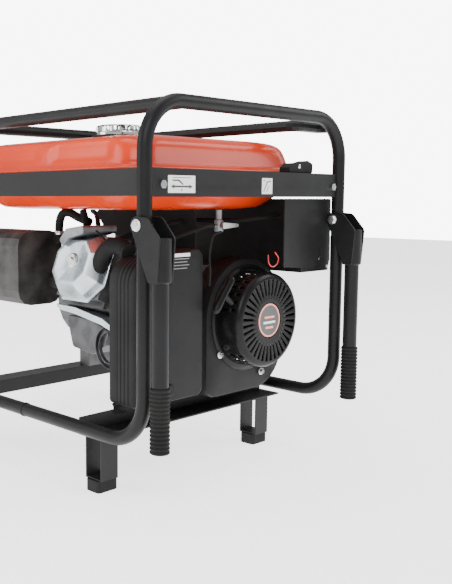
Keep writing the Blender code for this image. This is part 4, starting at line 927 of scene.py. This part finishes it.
marks += [[(y0 + 0.004, z0 + 0.004), (y0 + 0.006, z0 + 0.004), (y0 + 0.016, z1 - 0.008),
           (y1 - 0.004, z1 - 0.006),
           (y1 - 0.004, z1 - 0.0045), (y0 + 0.014, z1 - 0.0062)],
          [(y0 + 0.013, z0 + 0.004), (y0 + 0.0145, z0 + 0.004), (y0 + 0.020, z0 + 0.014),
           (y0 + 0.0185, z0 + 0.0145)],
          [(y0 + 0.004, z1 - 0.004), (y0 + 0.009, z1 - 0.004), (y0 + 0.009, z1 - 0.0055),
           (y0 + 0.004, z1 - 0.0055)]]
for number, mark in enumerate(marks):
    newPiece("stickerMark" + str(number), prism(mark, toX, beamX + 0.0003, beamX + 0.00045), blackInk)
for number, (y, z) in enumerate(((0.240, 0.410), (0.266, 0.393))):
    newPiece("panelScrew" + str(number), turned([(0.0042, 0.3045), (0.0042, 0.3056), (0.0030, 0.3066)],
                                                toX, (y, z), 20),
             brightZinc)
clip = outline([(0.119, 0.5800), (0.195, 0.5800), (0.195, 0.598), (0.180, 0.604), (0.160, 0.600),
                (0.130, 0.598),
                (0.119, 0.590)], 0.003, 3)
newPiece("beamClip", prism(clip, toX, 0.292, 0.316), mouldedBlack, bevel=0.0012)
newPiece("clipScrew", turned([(0.0042, 0.3158), (0.0042, 0.3172), (0.0030, 0.3180)], toX, (0.150, 0.592),
                             20), brightZinc)

# Mounts under the engine
railNode = nodeBox("recoil_crossmember")
plateX = (railNode[0].x + railNode[1].x) / 2
for number, y in enumerate((-0.185, 0.180, 0.225)):
    top = railNode[1].z
    mount = turned([(0.0125, top), (0.0140, top + 0.002), (0.0115, top + 0.006), (0.0115, top + 0.012),
                    (0.0140, top + 0.016), (0.0125, top + 0.018)], toZ, (plateX, y), 32)
    newPiece("rubberMount" + str(number), mount, mattRubber)
    newPiece("mountNut" + str(number), turned([(0.0066, top + 0.018), (0.0066, top + 0.024),
                                               (0.0056, top + 0.025)], toZ,
                                              (plateX, y), 6), brightZinc)
    newPiece("mountStud" + str(number), turned([(0.0038, top + 0.025), (0.0038, top + 0.031)], toZ,
                                               (plateX, y), 20),
             brightZinc)

# Control panel instruments
meterLow, meterHigh = nodeBox("voltmeter")
meterX, meterZ = (meterLow.x + meterHigh.x) / 2, (meterLow.z + meterHigh.z) / 2
dialY = meterHigh.y
dialRadius = min(meterHigh.x - meterLow.x, meterHigh.z - meterLow.z) / 2
newPiece("dialFace", turned([(dialRadius * 0.80, dialY - 0.0008), (dialRadius * 0.80, dialY - 0.0001)], toY,
                            (meterX, meterZ), 64), whitePlastic)
ticks = bmesh.new()
for k in range(13):
    turn = math.radians(205 - 230 * k / 12)
    c, s = math.cos(turn), math.sin(turn)
    inner = dialRadius * (0.60 if k % 3 == 0 else 0.67)
    wide = 0.0006 if k % 3 == 0 else 0.0003
    spots = [(inner, -wide), (dialRadius * 0.75, -wide), (dialRadius * 0.75, wide), (inner, wide)]
    prism([(meterX + r * c - t * s, meterZ + r * s + t * c) for r, t in spots], toY, dialY - 0.0002, dialY,
          ticks)
newPiece("dialTicks", ticks, blackInk)
needle = [(meterX - 0.0007, meterZ - 0.003), (meterX + 0.0007, meterZ - 0.003),
          (meterX - 0.007, meterZ + dialRadius * 0.6)]
newPiece("dialNeedle", prism(needle, toY, dialY - 0.0002, dialY + 0.0), redPlastic)
print("panel made")

# Smooth top rail, axle ends and panel screws
railLow, railHigh = nodeBox("cylinder_side_top_rail")
railMiddle = ((railLow.y + railHigh.y) / 2, (railLow.z + railHigh.z) / 2)
hoopEnds = tubeSet["ends"]
newPiece("topRail", turned([(0.0123, hoopEnds[1] + 0.008), (0.0123, hoopEnds[0] - 0.008)], toX, railMiddle,
                           32),
         satinBlack, stands=["cylinder_side_top_rail"], sharp=50)

axleLow, axleHigh = nodeBox("axle")
axleSpot = ((axleLow.x + axleHigh.x) / 2, (axleLow.z + axleHigh.z) / 2)
for side, edge in ((-1, axleLow.y), (1, axleHigh.y)):
    washer = turned([(0.0135, edge - side * 0.0062), (0.0135, edge - side * 0.0046)], toY, axleSpot, 32)
    newPiece("axleWasher" + str(side), washer, brightZinc)
    newPiece("axlePin" + str(side), pipe(curve([(axleSpot[0] - 0.010, edge - side * 0.0028,
                                                 axleSpot[1] - 0.010),
                                                (axleSpot[0] + 0.010, edge - side * 0.0028,
                                                 axleSpot[1] + 0.010)], 4),
                                         0.0011, 10), brightZinc)
panelLow, panelHigh = nodeBox("panel_face")
for number, (x, z) in enumerate(((panelLow.x + 0.008, panelLow.z + 0.008),
                                 (panelHigh.x - 0.008, panelLow.z + 0.008),
                                 (panelLow.x + 0.008, panelHigh.z - 0.008),
                                 (panelHigh.x - 0.008, panelHigh.z - 0.008))):
    screw = turned([(0.0038, panelHigh.y - 0.0010), (0.0038, panelHigh.y + 0.0004),
                    (0.0026, panelHigh.y + 0.0008)], toY,
                   (x, z), 20)
    newPiece("faceScrew" + str(number), screw, brightZinc)
print("rails and small parts made")
